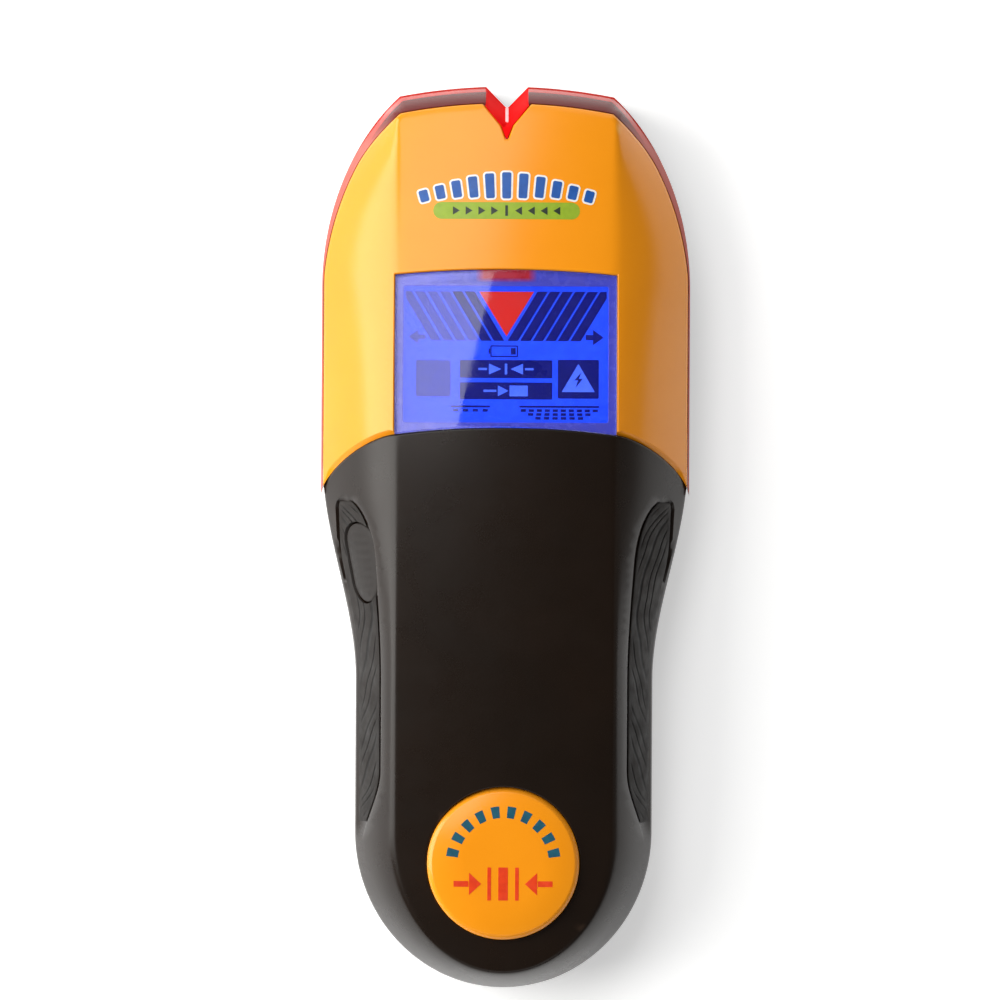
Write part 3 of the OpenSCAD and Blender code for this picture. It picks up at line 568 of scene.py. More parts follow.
class Look:
    """A material under construction: its node tree and its main shader."""

    def __init__(self, name):
        self.material = bpy.data.materials.new(name)
        self.material.use_nodes = True
        self.nodes = self.material.node_tree.nodes
        self.links = self.material.node_tree.links
        self.nodes.clear()
        self.out = self.nodes.new("ShaderNodeOutputMaterial")
        self.shader = self.nodes.new("ShaderNodeBsdfPrincipled")
        self.links.new(self.shader.outputs[0], self.out.inputs[0])
        self.place = self.nodes.new("ShaderNodeTexCoord").outputs["Object"]

    def noise(self, scale, detail=3.0, rough=0.55, stretch=None):
        node = self.nodes.new("ShaderNodeTexNoise")
        node.inputs["Scale"].default_value = scale
        node.inputs["Detail"].default_value = detail
        node.inputs["Roughness"].default_value = rough
        place = self.place
        if stretch:
            mapping = self.nodes.new("ShaderNodeMapping")
            mapping.inputs["Scale"].default_value = stretch
            self.links.new(place, mapping.inputs["Vector"])
            place = mapping.outputs[0]
        self.links.new(place, node.inputs["Vector"])
        return node.outputs["Fac"]

    def cells(self, scale):
        node = self.nodes.new("ShaderNodeTexVoronoi")
        node.inputs["Scale"].default_value = scale
        self.links.new(self.place, node.inputs["Vector"])
        return node.outputs["Distance"]

    def spread(self, source, low, high, out_low=0.0, out_high=1.0):
        """Maps a value from low..high to out_low..out_high."""
        node = self.nodes.new("ShaderNodeMapRange")
        node.inputs["From Min"].default_value = low
        node.inputs["From Max"].default_value = high
        node.inputs["To Min"].default_value = out_low
        node.inputs["To Max"].default_value = out_high
        self.links.new(source, node.inputs["Value"])
        return node.outputs[0]

    def mix(self, share, a, b):
        """Mix of two colours, each a colour or a socket."""
        node = self.nodes.new("ShaderNodeMix")
        node.data_type = "RGBA"
        self.links.new(share, node.inputs["Factor"])
        for socket, value in ((node.inputs["A"], a), (node.inputs["B"], b)):
            self._give(node, socket, value)
        return [s for s in node.outputs if s.type == "RGBA"][0]

    def _give(self, node, socket, value):
        socket = [s for s in node.inputs if s.name == socket.name and s.type == "RGBA"][0]
        if isinstance(value, tuple):
            socket.default_value = value
        else:
            self.links.new(value, socket)

    def maths(self, operation, a, b):
        node = self.nodes.new("ShaderNodeMath")
        node.operation = operation
        for socket, value in zip(node.inputs, (a, b)):
            if isinstance(value, (int, float)):
                socket.default_value = value
            else:
                self.links.new(value, socket)
        return node.outputs[0]

    def along(self, axis):
        node = self.nodes.new("ShaderNodeSeparateXYZ")
        self.links.new(self.place, node.inputs[0])
        return node.outputs[axis]

    def attribute(self, name):
        node = self.nodes.new("ShaderNodeAttribute")
        node.attribute_name = name
        return node.outputs["Fac"]

    def edges(self, low=0.52, high=0.62):
        node = self.nodes.new("ShaderNodeNewGeometry")
        return self.spread(node.outputs["Pointiness"], low, high)

    def colour(self, source):
        self._to("Base Color", source)
        return self

    def roughness(self, source):
        self._to("Roughness", source)
        return self

    def bump(self, source, depth, strength=1.0):
        """Fine relief of that depth in metres."""
        node = self.nodes.new("ShaderNodeBump")
        node.inputs["Distance"].default_value = depth
        node.inputs["Strength"].default_value = strength
        self.links.new(source, node.inputs["Height"])
        self.links.new(node.outputs[0], self.shader.inputs["Normal"])
        return self

    def _to(self, socket, source):
        if isinstance(source, (tuple, float)):
            self.shader.inputs[socket].default_value = source
        else:
            self.links.new(source, self.shader.inputs[socket])


def moulded(name, colour, dark, rough, grain=2600.0, grain_depth=8e-6, coat=0.0, worn=None, gloss=0.5):
    """Moulded plastic: slight colour drift, fine spark-eroded grain, and paler rubbed edges."""
    look = Look(name)
    drift = look.spread(look.noise(55, 4), 0.3, 0.72)
    base = look.mix(drift, colour, dark)
    if worn:
        base = look.mix(look.maths("MULTIPLY", look.edges(), look.noise(400)), base, worn)
    look.colour(base)
    smudge = look.noise(130, 5, 0.6)
    look.roughness(look.spread(smudge, 0.3, 0.7, rough * 0.93, rough * 1.09))
    look.bump(look.noise(grain, 2), grain_depth)
    look.shader.inputs["Specular IOR Level"].default_value = gloss
    look.shader.inputs["Coat Weight"].default_value = coat
    look.shader.inputs["Coat Roughness"].default_value = 0.06
    return look.material


def yellow_plastic():
    return moulded("yellow_gloss", srgb(254, 157, 22), srgb(250, 152, 18), 0.2, 1800, 2e-6, 0.0,
                   srgb(255, 186, 80), 0.42)


def black_plastic():
    return moulded("black_satin", srgb(30, 20, 13), srgb(25, 17, 11), 0.28, 3200, 8e-6, 0.0,
                   srgb(56, 42, 32), 0.3)


def housing_plastic():
    return moulded("housing_textured", srgb(34, 28, 24), srgb(28, 23, 19), 0.5, 2400, 2.4e-5, 0.0,
                   srgb(72, 62, 54), 0.35)


def rubber():
    look = Look("grip_rubber")
    drift = look.spread(look.noise(90, 4), 0.35, 0.65)
    # The grooves are painted near black: painted shade in the grooves, which are also cut into the pad.
    groove = look.attribute("groove")
    base = look.mix(groove, look.mix(drift, srgb(27, 21, 17), srgb(21, 16, 13)), srgb(8, 6, 5))
    look.colour(base)
    look.roughness(look.spread(look.noise(300, 4), 0.3, 0.7, 0.55, 0.78))
    look.bump(look.noise(1800, 3), 2.5e-5)
    look.shader.inputs["Specular IOR Level"].default_value = 0.35
    return look.material


def red_lens():
    """Red plastic, opaque here, with painted light and shade in place of seeing through it: bright where its
    rim is thick, painted dark as painted shade where the casing is close behind, and painted paler along the
    head's sides as painted light.
    """
    look = Look("red_lens_painted_see_through")
    depth = look.attribute("lens_painted_shade_depth")
    streak = look.noise(160, 3, 0.5, (1, 3, 1))
    # Further in from the rim the red is painted dark: painted shade of the casing behind.
    painted_shade_share = look.spread(depth, 0.26, 0.3)
    shade = look.mix(look.spread(streak, 0.3, 0.7), srgb(212, 62, 52), srgb(196, 50, 42))
    base = look.mix(painted_shade_share, shade, srgb(104, 26, 22))
    # Below 74 to 79 mm along the body, on the head's sides, the band is painted paler pink: painted light.
    side = look.spread(look.along("Y"), 0.074, 0.079, 1, 0)
    base = look.mix(side, base, srgb(196, 104, 94))
    look.colour(base)
    look.roughness(look.spread(look.noise(220, 3), 0.3, 0.7, 0.06, 0.14))
    look.bump(look.noise(900, 2), 3e-6)
    look.shader.inputs["IOR"].default_value = 1.49
    look.shader.inputs["Specular IOR Level"].default_value = 0.12
    return look.material


def window_clear():
    look = Look("window_clear")
    look.colour(look.mix(look.noise(60, 2), srgb(225, 226, 255), srgb(236, 236, 255)))
    look.roughness(look.spread(look.noise(240, 4), 0.35, 0.75, 0.02, 0.07))
    look.bump(look.noise(70, 1), 4e-6)
    look.shader.inputs["Transmission Weight"].default_value = 1.0
    look.shader.inputs["IOR"].default_value = 1.42
    return look.material


def glow(name, colour, strength, other, grain=700.0):
    """Lit surface: an even glow with a slight mottle."""
    look = Look(name)
    shade = look.mix(look.spread(look.noise(grain, 2), 0.3, 0.7), colour, other)
    look.colour(shade)
    look.links.new(shade, look.shader.inputs["Emission Color"])
    look.shader.inputs["Emission Strength"].default_value = strength
    look.roughness(look.spread(look.noise(90, 3), 0.3, 0.7, 0.25, 0.4))
    return look.material


def ink(name, colour, dark, rough=0.35):
    look = Look(name)
    look.colour(look.mix(look.spread(look.noise(900, 3), 0.35, 0.7), colour, dark))
    look.roughness(look.spread(look.noise(500, 2), 0.3, 0.7, rough * 0.8, rough * 1.2))
    look.bump(look.noise(3000, 2), 2e-6)
    return look.material


def metal(name, colour, dark, rough=0.28, brushed=None):
    look = Look(name)
    look.colour(look.mix(look.spread(look.noise(300, 4), 0.35, 0.7), colour, dark))
    look.roughness(look.spread(look.noise(500, 4, 0.6, brushed), 0.3, 0.7, rough * 0.7, rough * 1.4))
    look.bump(look.noise(900, 3, 0.6, brushed), 6e-6)
    look.shader.inputs["Metallic"].default_value = 1.0
    return look.material


def circuit_board():
    """Green solder mask with faint copper tracks under it."""
    look = Look("board_green")
    tracks = look.spread(look.cells(260), 0.02, 0.05)
    base = look.mix(tracks, srgb(26, 112, 62), srgb(12, 78, 42))
    look.colour(base)
    look.roughness(look.spread(look.noise(260, 3), 0.3, 0.7, 0.25, 0.45))
    look.bump(tracks, 1.5e-5, 0.6)
    return look.material


def battery_wrap():
    """Printed foil jacket, dark with a copper-coloured end band."""
    look = Look("battery_wrap")
    band = look.spread(look.along("Y"), -0.0415, -0.0413)
    base = look.mix(look.noise(150, 3), srgb(46, 50, 56), srgb(34, 37, 42))
    look.colour(look.mix(band, base, srgb(196, 120, 62)))
    look.roughness(look.spread(look.noise(180, 4), 0.3, 0.7, 0.2, 0.36))
    look.bump(look.noise(120, 3), 2e-5)
    look.shader.inputs["Metallic"].default_value = 0.6
    return look.material


def violet_border():
    """Edge of the window with a painted glow of the display's light behind it, and a painted red reflection
    of the pointer mark.
    """
    look = Look("window_border_painted_glow")
    shade = look.mix(look.spread(look.noise(240, 3), 0.3, 0.7), srgb(104, 106, 214), srgb(92, 100, 222))
    # Painted red reflection of the pointer mark: within 4.2 to 5.8 mm of the middle, above 47.8 to 48.6 mm.
    off = look.maths("ABSOLUTE", look.along("X"), 0.0)
    red = look.maths("MULTIPLY", look.spread(off, 0.0042, 0.0058, 1, 0),
                     look.spread(look.along("Y"), 0.0478, 0.0486))
    shade = look.mix(red, shade, srgb(228, 52, 58))
    look.colour(shade)
    # The border's glow is painted light of the display behind it.
    look.links.new(shade, look.shader.inputs["Emission Color"])
    look.shader.inputs["Emission Strength"].default_value = 0.2
    look.roughness(look.spread(look.noise(500, 2), 0.3, 0.7, 0.2, 0.32))
    return look.material


YELLOW = yellow_plastic()
BLACK = black_plastic()
HOUSING = housing_plastic()
RUBBER = rubber()
RED = red_lens()
NOTCH_RED = moulded("notch_red_frosted", srgb(250, 20, 20), srgb(240, 14, 16), 0.6, 1400, 4e-6, gloss=0.02)
SOFT_BLACK = moulded("button_soft_black", srgb(28, 21, 17), srgb(23, 17, 13), 0.5, 1600, 1.6e-5, gloss=0.3)
CLEAR = window_clear()
BORDER_PAINTED_GLOW = violet_border()
LCD_BLUE = glow("lcd_blue", srgb(32, 84, 246), 0.85, srgb(26, 74, 238))
LCD_LIGHT = glow("lcd_light_segments", srgb(84, 124, 250), 0.8, srgb(72, 112, 246))
NAVY = glow("lcd_dark_segments", srgb(6, 18, 136), 0.3, srgb(5, 14, 122))
GHOST = glow("lcd_faint_segments", srgb(44, 60, 184), 0.5, srgb(40, 56, 176))
POINTER_RED = glow("lcd_pointer_red", srgb(248, 36, 14), 0.55, srgb(242, 46, 24), 260)
BEAM = glow("beam_guide_clear", srgb(244, 190, 190), 0.5, srgb(236, 170, 172))
PRINT_BLUE = ink("print_blue", srgb(20, 88, 172), srgb(16, 78, 158))
PRINT_WHITE = ink("print_white", srgb(245, 244, 240), srgb(232, 232, 228))
PRINT_GREEN = ink("print_green", srgb(150, 178, 30), srgb(138, 168, 26))
PRINT_DARK = ink("print_dark", srgb(26, 44, 22), srgb(22, 36, 20))
PRINT_TEAL = ink("print_teal", srgb(24, 92, 112), srgb(18, 78, 100))
PRINT_RED = ink("print_red", srgb(236, 66, 18), srgb(224, 56, 14))

# Look of each CAD part that stays
NODE_LOOKS = {
    "lcd_frame": moulded("white_bezel", srgb(226, 226, 222), srgb(214, 214, 210), 0.4),
    "backlight_panel": glow("light_panel", srgb(200, 214, 255), 0.3, srgb(188, 204, 252), 300),
    "lcd_contact_strips": moulded("zebra_rubber", srgb(214, 150, 150), srgb(196, 132, 132), 0.6),
    "backlight_leds": glow("led_bodies", srgb(236, 240, 220), 0.4, srgb(226, 232, 206), 900),
    "main_board": circuit_board(),
    "microcontroller": moulded("chip_black", srgb(30, 30, 32), srgb(24, 24, 26), 0.38),
    "surface_parts": moulded("ceramic_chips", srgb(190, 160, 120), srgb(170, 140, 104), 0.45),
    "capacitors": moulded("capacitor_sleeve", srgb(30, 42, 92), srgb(24, 34, 80), 0.32),
    "crystal": metal("crystal_can", srgb(200, 202, 204), srgb(180, 182, 186), 0.2),
    "sensor_plates": metal("copper_plates", srgb(206, 128, 84), srgb(182, 104, 66), 0.3, (1, 8, 1)),
    "board_header": moulded("header_body", srgb(34, 34, 36), srgb(26, 26, 28), 0.4),
    "buzzer": moulded("buzzer_case", srgb(36, 36, 38), srgb(28, 28, 30), 0.42),
    "pointer_led": moulded("lamp_red", srgb(214, 60, 44), srgb(196, 46, 34), 0.12, coat=0.4),
    "power_switch": moulded("switch_body", srgb(78, 80, 84), srgb(66, 68, 72), 0.45),
    "switch_plunger": moulded("switch_plunger_white", srgb(230, 230, 226), srgb(214, 214, 210), 0.36),
    "battery": battery_wrap(),
    "battery_terminals": metal("terminal_steel", srgb(206, 206, 204), srgb(184, 184, 184), 0.22),
    "battery_snap": moulded("snap_vinyl", srgb(34, 32, 32), srgb(26, 25, 25), 0.5),
    "snap_contacts": metal("contact_nickel", srgb(210, 208, 202), srgb(190, 188, 184), 0.25),
    "positive_lead": moulded("lead_red", srgb(196, 30, 26), srgb(176, 24, 22), 0.42),
    "negative_lead": moulded("lead_black", srgb(30, 30, 32), srgb(24, 24, 26), 0.42),
    "housing_screws": metal("screw_zinc", srgb(188, 188, 186), srgb(160, 160, 160), 0.3),
    "board_screws": metal("board_screw_steel", srgb(196, 196, 194), srgb(170, 170, 170), 0.3),
}
NODE_LOOKS["sensor_board"] = NODE_LOOKS["main_board"]
for node_name, look_material in NODE_LOOKS.items():
    node_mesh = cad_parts[node_name].data
    node_mesh.materials.clear()
    node_mesh.materials.append(look_material)

# ---------------------------------------------------------------- plans of the shells
NOSE_BAND = 3.76
NOTCH_SHOULDER = (4.5, float(nose_edge(4.5)) - NOSE_BAND)
NOTCH_WAIST = (1.1, NOSE_Y - NOSE_SLOPE - NOTCH_D + 0.2)
NOTCH_TIP = (0.15, NOSE_Y - NOSE_SLOPE - NOTCH_D - 2.3)


def band_w(y):
    """Width of the red band along the side of the head, seen from above."""
    return 0.4 + 0.055 * max(0.0, y - 50) + 0.018 * max(0.0, y - 70) ** 2


def cover_end(x):
    """Sweeping line where the yellow cover meets the black handle."""
    s = min(max((x - CREASE_X) / (HEAD_W / 2 - CREASE_X), 0), 1)
    return JOINT_Y + (WINDOW_Y0 - JOINT_Y) * (1 - s ** 1.5) ** (2 / 3)


def cover_end_points(x_from, x_to, shift, count=26):
    """Points of that line, closer together where it turns, moved along the body by shift."""
    span = HEAD_W / 2 - CREASE_X
    a0, a1 = (math.asin(min(1.0, max(0.0, (x - CREASE_X) / span))) for x in (x_from, x_to))
    return [(CREASE_X + span * math.sin(a), cover_end(CREASE_X + span * math.sin(a)) + shift)
            for a in np.linspace(a0, a1, count)]


def lower_arch(w, shift, count=20):
    """Right half of the arched line below the window, from its middle to the lower corner."""
    return [(x, WINDOW_Y0 + COVER_ARCH * (1 - (x / w) ** 2) + shift) for x in np.linspace(0, w, count)]


def window_edge(grow):
    """Right half of the window's outline, from its lower corner to the middle of its arched top."""
    w = CREASE_X + grow
    side = dense([(w, WINDOW_Y0 - grow), (w, WINDOW_Y1 - WINDOW_ARCH + grow)])
    arch = [(x, WINDOW_Y1 + grow - WINDOW_ARCH * (x / w) ** 2) for x in np.linspace(w, 0, 24)]
    return side + arch[1:]


def notch_edge(grow):
    """Right half of the opening round the notch, from its tip to its shoulder."""
    return dense([(NOTCH_TIP[0] + grow, NOTCH_TIP[1] - grow), (NOTCH_WAIST[0] + grow, NOTCH_WAIST[1]),
                  (NOTCH_SHOULDER[0] + grow, NOTCH_SHOULDER[1])], 0.5)


SIDE_CORNER_Y = 79.3
YELLOW_END_X = HEAD_W / 2 - band_w(JOINT_Y)


def yellow_plan():
    nose = nose_points(NOTCH_SHOULDER[0] + SEAM, 20.1, NOSE_BAND)
    side = side_points(SIDE_CORNER_Y, cover_end(YELLOW_END_X), True, inward=band_w)
    end = cover_end_points(YELLOW_END_X, CREASE_X, 0)
    return closed(notch_edge(SEAM)[:-1] + nose + side + end[1:] + window_edge(SEAM)[1:])


def lens_plan():
    notch = dense([(0, NOSE_Y - NOTCH_D), (NOTCH_HALF, float(nose_edge(NOTCH_HALF)))], 0.5)
    nose = nose_points(NOTCH_HALF, CORNER_X, 0)
    outer = side_points(CORNER_Y, JOINT_Y, True)
    inner = side_points(JOINT_Y + 1.2, SIDE_CORNER_Y, True, inward=lambda y: band_w(y) - SEAM)
    inner_nose = nose_points(20.15, NOTCH_SHOULDER[0], NOSE_BAND - SEAM)
    return closed(notch + nose[1:] + outer[1:] + inner + inner_nose + notch_edge(0)[-2::-1])


HANDLE_START_Y = cover_end(HANDLE_TOP_W / 2 - 0.15)


def handle_plan():
    top = lower_arch(CREASE_X, -SEAM)
    end = cover_end_points(CREASE_X, HANDLE_TOP_W / 2 - 0.15, -SEAM)
    side = side_points(HANDLE_START_Y - 0.4, TAIL_C, False)
    return closed(top + end[1:] + side + tail_points(HANDLE_W / 2, TAIL_C - TAIL_Y)[1:])


def crease_rows(offsets=(-1.1, -0.65, -0.35, -0.12, 0.12, 0.35, 0.65, 1.1)):
    """Rows of points along the crease, so that its soft edge is even."""
    loop = turned(CREASE, True)
    return [inset(loop, d) for d in offsets]


# ---------------------------------------------------------------- shells
def lens_z(pts):
    """Sloped nose face and side strip, with the V of the notch leaning back into it."""
    surface = front_z(pts) - 0.06
    x, y = np.abs(pts[:, 0]), pts[:, 1]
    top_z = float(crest(np.array(NOSE_Y - NOSE_SLOPE)))
    lean = NOSE_SLOPE / (top_z - NOSE_SIDE_Z)
    valley = NOSE_Y - NOTCH_D * (1 - x / NOTCH_HALF)
    notch = NOSE_SIDE_Z + (valley - y) / lean
    return np.where(x < NOTCH_HALF, np.minimum(surface, np.maximum(notch, NOSE_SIDE_Z)), surface)


# Chamfer along the yellow cover's lower end, its least width at the tips, and the chamfer elsewhere
COVER_LIP, LEAST_LIP, COVER_EDGE = 0.95, 0.06, 0.25


def make_top_cover():
    def edge(p):
        low = (p[:, 1] < WINDOW_Y0 + 0.2) & (np.abs(p[:, 0]) > CREASE_X - 0.5)
        lip = np.clip(0.5 * (YELLOW_END_X - np.abs(p[:, 0])), LEAST_LIP, COVER_LIP)
        return np.where(low, lip, COVER_EDGE)
    return plate("top_cover_shell", [yellow_plan()], front_z, YELLOW, edge=edge, thick=1.8, spacing=1.1,
                 rows=crease_rows(), chamfer=True, slot="yellow_plastic", stands_for=["top_cover"])


def make_handle_cover():
    rows = crease_rows()
    for move in (0, SCOOP_EDGE / 2, SCOOP_EDGE):
        rows += scoop_row(lambda y, m=move: scoop_low(y) + m)
        rows += scoop_row(lambda y, m=move: scoop_high(y) - m)
    badge = circle(0, BADGE_Y, BADGE_R + SEAM, 96)
    obj = plate("handle_cover_shell", [handle_plan(), badge], handle_z, BLACK, edge=0.3, thick=1.9,
                spacing=1.1, skirt=PART_Z + 0.05, rows=rows, slot="black_plastic",
                stands_for=["handle_cover"])
    cut(obj, *button_slot(BUTTON_GAP, *BUTTON_SLOT_X))
    return obj


def scoop_row(share, step=0.7):
    """Rows of points down both scoops at a share of the facet."""
    ys = np.arange(SCOOP_TOP_Y + 0.5, SCOOP_END_Y - 1, -step)
    edge = half_w(ys, False)
    xs = edge - np.array([float(share(y)) for y in ys]) * (edge - crease_w(ys))
    return [np.column_stack([s * xs, ys]) for s in (1, -1)]


LENS_LIP = 1.1


def make_nose_lens():
    """Red band round the nose: its outer lip is bright and further in it is painted dark as painted shade,
    and the V of the notch is frosted.
    """
    rim = turned(RIM, True)
    rows = [inset(rim, LENS_LIP + d) for d in (-0.1, 0.1)]
    ys = np.arange(NOTCH_TIP[1], NOSE_Y, 0.4)
    for x in (NOTCH_HALF, NOTCH_HALF + 0.12):
        rows += [np.column_stack([np.full(len(ys), s * x), ys]) for s in (1, -1)]
    obj = plate("nose_lens_band", [lens_plan()], lens_z, RED, edge=0.1, hold=0.04, thick=1.5, spacing=0.6,
                skirt=PART_Z + 0.1, wall=0.25, rows=rows, slot="red_lens", stands_for=["nose_lens"])
    mesh = obj.data
    co = np.array([v.co for v in mesh.vertices]) / MM
    to_rim, _ = nearest(RIM, co[:, :2])
    # Distance in from the rim, on the upper faces only, which the red uses for its painted shade.
    set_values(mesh, "lens_painted_shade_depth", np.clip(to_rim / NOSE_SLOPE, 0, 1) * (co[:, 2] > NOSE_SIDE_Z - 0.6))
    mesh.materials.append(NOTCH_RED)
    for face in mesh.polygons:
        middle = face.center / MM
        if abs(middle.x) < NOTCH_HALF + 0.02 and middle.y > NOTCH_TIP[1] - 1:
            face.material_index = 1
    return obj


def set_values(mesh, name, values):
    """Stores one number per point, for the material to read."""
    layer = mesh.attributes.new(name, "FLOAT", "POINT")
    layer.data.foreach_set("value", np.asarray(values, np.float32))


# ---------------------------------------------------------------- grips
GRIP_SUNK = 0.3
GROOVE_PITCH = 1.3
GROOVE_W = 0.2
GROOVE_DEPTH = 0.3
GRAIN_Y, GRAIN_BOW, GRAIN_SLANT = -13.0, 0.0115, 0.3


GRAIN_SLANT_Y = GRAIN_Y - 13


def groove(from_inner, y):
    """Wood-grain grooves, 1 in the middle of a groove and 0 between them. They bow in towards
    the crease, and slant out to the side further down."""
    reach = min(abs(y - GRAIN_Y), GRAIN_Y - GRAIN_SLANT_Y) if y < GRAIN_Y else y - GRAIN_Y
    bow = GRAIN_BOW * reach ** 2 + GRAIN_SLANT * max(0.0, GRAIN_SLANT_Y - y)
    wave = 0.22 * math.sin(y / 2.9) + 0.12 * math.sin(y / 1.3 + 0.8)
    phase = (from_inner - bow + wave) / GROOVE_PITCH
    uneven = phase + 0.16 * np.sin(phase * 2.4 + 0.6)
    off = np.abs(uneven - np.round(uneven)) * GROOVE_PITCH
    return np.clip(1 - off / GROOVE_W, 0, 1) ** 0.7


def make_grip(side):
    name = "right_grip" if side > 0 else "left_grip"
    ys = np.linspace(SCOOP_TOP_Y - 0.9, SCOOP_END_Y + 4, 250)
    columns = 72
    top = np.empty((len(ys), columns, 3))
    values = np.empty((len(ys), columns))
    for r, y in enumerate(ys):
        low = float(scoop_low(y)) + SCOOP_EDGE
        high = float(scoop_high(y)) - SCOOP_EDGE
        s = np.linspace(0, 1, columns)
        share = lerp(low, max(high, low + 0.02), s)
        edge = float(half_w(y, False))
        x = edge - share * (edge - float(crease_w(y)))
        across = (share - low) * (edge - float(crease_w(y)))
        z = front_z(np.column_stack([side * x, np.full(columns, y)]), False)
        from_end = 0.6 * min(abs(y - ys[0]), abs(y - ys[-1]))
        border = np.minimum(np.minimum(across, across[-1] - across), from_end)
        lip = np.clip(border / 0.45, 0, 1)
        cutout = groove(across[-1] - across, y) * np.clip((border - 0.35) / 0.5, 0, 1)
        drop = GRIP_SUNK + 0.35 * (1 - np.sqrt(1 - (1 - lip) ** 2)) + GROOVE_DEPTH * cutout
        top[r] = np.column_stack([side * x, np.full(columns, y), z - drop])
        values[r] = cutout
    bottom = top.copy()
    flat_xy = top.reshape(-1, 3)[:, :2]
    bottom[:, :, 2] = (front_z(flat_xy, False) - SCOOP_D + 0.03).reshape(len(ys), columns)
    obj = grid_piece(name + "_pad", top, bottom, RUBBER, slot="black_rubber", stands_for=[name],
                     sharp=math.radians(60))
    # The grooves' share, stored for the rubber's painted shade in them.
    set_values(obj.data, "groove", np.concatenate([values.ravel(), np.zeros(values.size)]))
    if side < 0:
        cut(obj, *button_slot(BUTTON_GAP, *BUTTON_SLOT_X))
    return obj


# ---------------------------------------------------------------- power button
BUTTON_Y = (BUTTON_LO[1] + BUTTON_HI[1]) / 2
BUTTON_Z = (BUTTON_LO[2] + BUTTON_HI[2]) / 2
BUTTON_L = BUTTON_HI[1] - BUTTON_LO[1]
BUTTON_T = BUTTON_HI[2] - BUTTON_LO[2]


def slot_loop(grow, steps=14):
    """Outline of the button seen from the side, as (y, z)."""
    r = BUTTON_T / 2 + grow
    reach = (BUTTON_L - BUTTON_T) / 2
    points = []
    for sign, start in ((1, -90), (-1, 90)):
        for k in range(steps + 1):
            a = math.radians(start + 180 * k / steps)
            points.append((BUTTON_Y + sign * reach + r * math.cos(a), BUTTON_Z + r * math.sin(a)))
    return np.array(dense(points + [points[0]], 0.7)[:-1])


def button_slot(grow, x0, x1):
    return prism(slot_loop(grow), x0, x1, (1, 2, 0))


def facet_x(y, z):
    """How far out the left facet is at y and height z, before any scoop."""
    low, high = side_top(y), panel_z(CREASE_X, y)
    share = 1.5 - np.sqrt(np.clip(2.25 - 2 * (z - low) / (high - low), 0, None))
    edge = half_w(y, False)
    return edge - share * (edge - crease_w(y))


def make_button():
    """Rocker with raised ribs on its face, which follows the slope of the grip."""
    def height(p):
        y, z = p[:, 0], p[:, 1]
        base = facet_x(y, z)
        rim = nearest(slot_loop(0), p)[0]
        crown = 0.25 * np.clip(rim / 3, 0, 1) ** 0.6
        ribs = 0.12 * np.clip(1 - np.abs(((y - BUTTON_Y) / 1.6) % 1 - 0.5) * 4 + 0.3, 0, 1)
        return base - 0.55 + crown + ribs * smooth((rim - 1.1) / 0.5)

    def place(v):
        return np.column_stack([-v[:, 2], v[:, 0], v[:, 1]])
    return plate("power_button_key", [slot_loop(0)], height, SOFT_BLACK, edge=0.35, thick=5.5, spacing=0.42,
                 place=place, body="power_button", slot="black_plastic", stands_for=["power_button"])


# ---------------------------------------------------------------- back
BOTTOM_R, MEETING_R = 2.2, 0.25
HOUSING_WALL = 1.9
WELL_R, WELL_EDGE = 3.1, 0.3
SCREW_SPOTS = [(15, 66), (-15, 66), (17, -19.5), (-17, -19.5)]


def housing_outline(y_from, top=True):
    """Outline of the lower shell on the nose side of y_from, or of the tail."""
    notch = dense([(0, NOSE_Y - NOTCH_D), (NOTCH_HALF, float(nose_edge(NOTCH_HALF)))], 0.5)
    nose = nose_points(NOTCH_HALF, CORNER_X, 0)
    if top:
        side = side_points(CORNER_Y, y_from, False)
        return closed(notch + nose[1:] + side[1:] + dense([side[-1], (0, y_from)])[1:])
    side = side_points(y_from, TAIL_C, False)
    tail = tail_points(HANDLE_W / 2, TAIL_C - TAIL_Y)
    return closed(dense([(0, y_from), side[0]]) + side[1:] + tail[1:])


def bottom_edge(y_split):
    """Large round edge outside, small one where the two lower parts meet and in the notch."""
    def edge(p):
        meet = np.abs(p[:, 1] - y_split) < 0.05
        near_notch = (np.abs(p[:, 0]) < NOTCH_HALF - 0.05) & (p[:, 1] > 0)
        return np.where(meet | near_notch, MEETING_R, BOTTOM_R)
    return edge


def make_back_housing():
    wells = [circle(x, y, WELL_R, 48) for x, y in SCREW_SPOTS]
    return plate("back_housing_tray", [housing_outline(DOOR_Y), *wells], flat(0), HOUSING,
                 edge=lambda p: np.where(well_points(p), WELL_EDGE, bottom_edge(DOOR_Y)(p)),
                 thick=2.2, spacing=2.4, skirt=PART_Z, wall=HOUSING_WALL, up=-1,
                 slot="black_plastic", stands_for=["back_housing"])


def well_points(p):
    near = np.zeros(len(p), bool)
    for x, y in SCREW_SPOTS:
        near |= np.hypot(p[:, 0] - x, p[:, 1] - y) < WELL_R + 0.4
    return near


def make_tail_rim():
    """Rim of the lower shell that the door slides along."""
    outer = housing_outline(DOOR_Y + 0.1, False)
    loop = turned(outer, True)
    inner = inset(loop, 2.0)
    return plate("back_housing_rim", [outer, inner], flat(PART_Z), HOUSING, edge=0.1, thick=1.45,
                 spacing=1.2, slot="black_plastic")


def door_z(p):
    """Outside of the door, with finger ridges and an arrow pressed into it."""
    return sum(recess(p, loop, depth) for loop, depth in DOOR_RECESSES)


def recess(p, loop, depth, slope=0.3):
    d = nearest(loop, p)[0] * np.where(inside(loop, p), 1, 0)
    return depth * smooth(d / slope)


DOOR_RIDGE_W, DOOR_RIDGE_T, DOOR_RIDGE_PITCH, DOOR_RIDGES = 20.0, 1.3, 2.6, 5
DOOR_RIDGE_Y = DOOR_Y - 7
DOOR_ARROW_Y = DOOR_Y - 24
RIDGE_DEPTH, ARROW_DEPTH = 0.5, 0.35
DOOR_GAP = 0.15


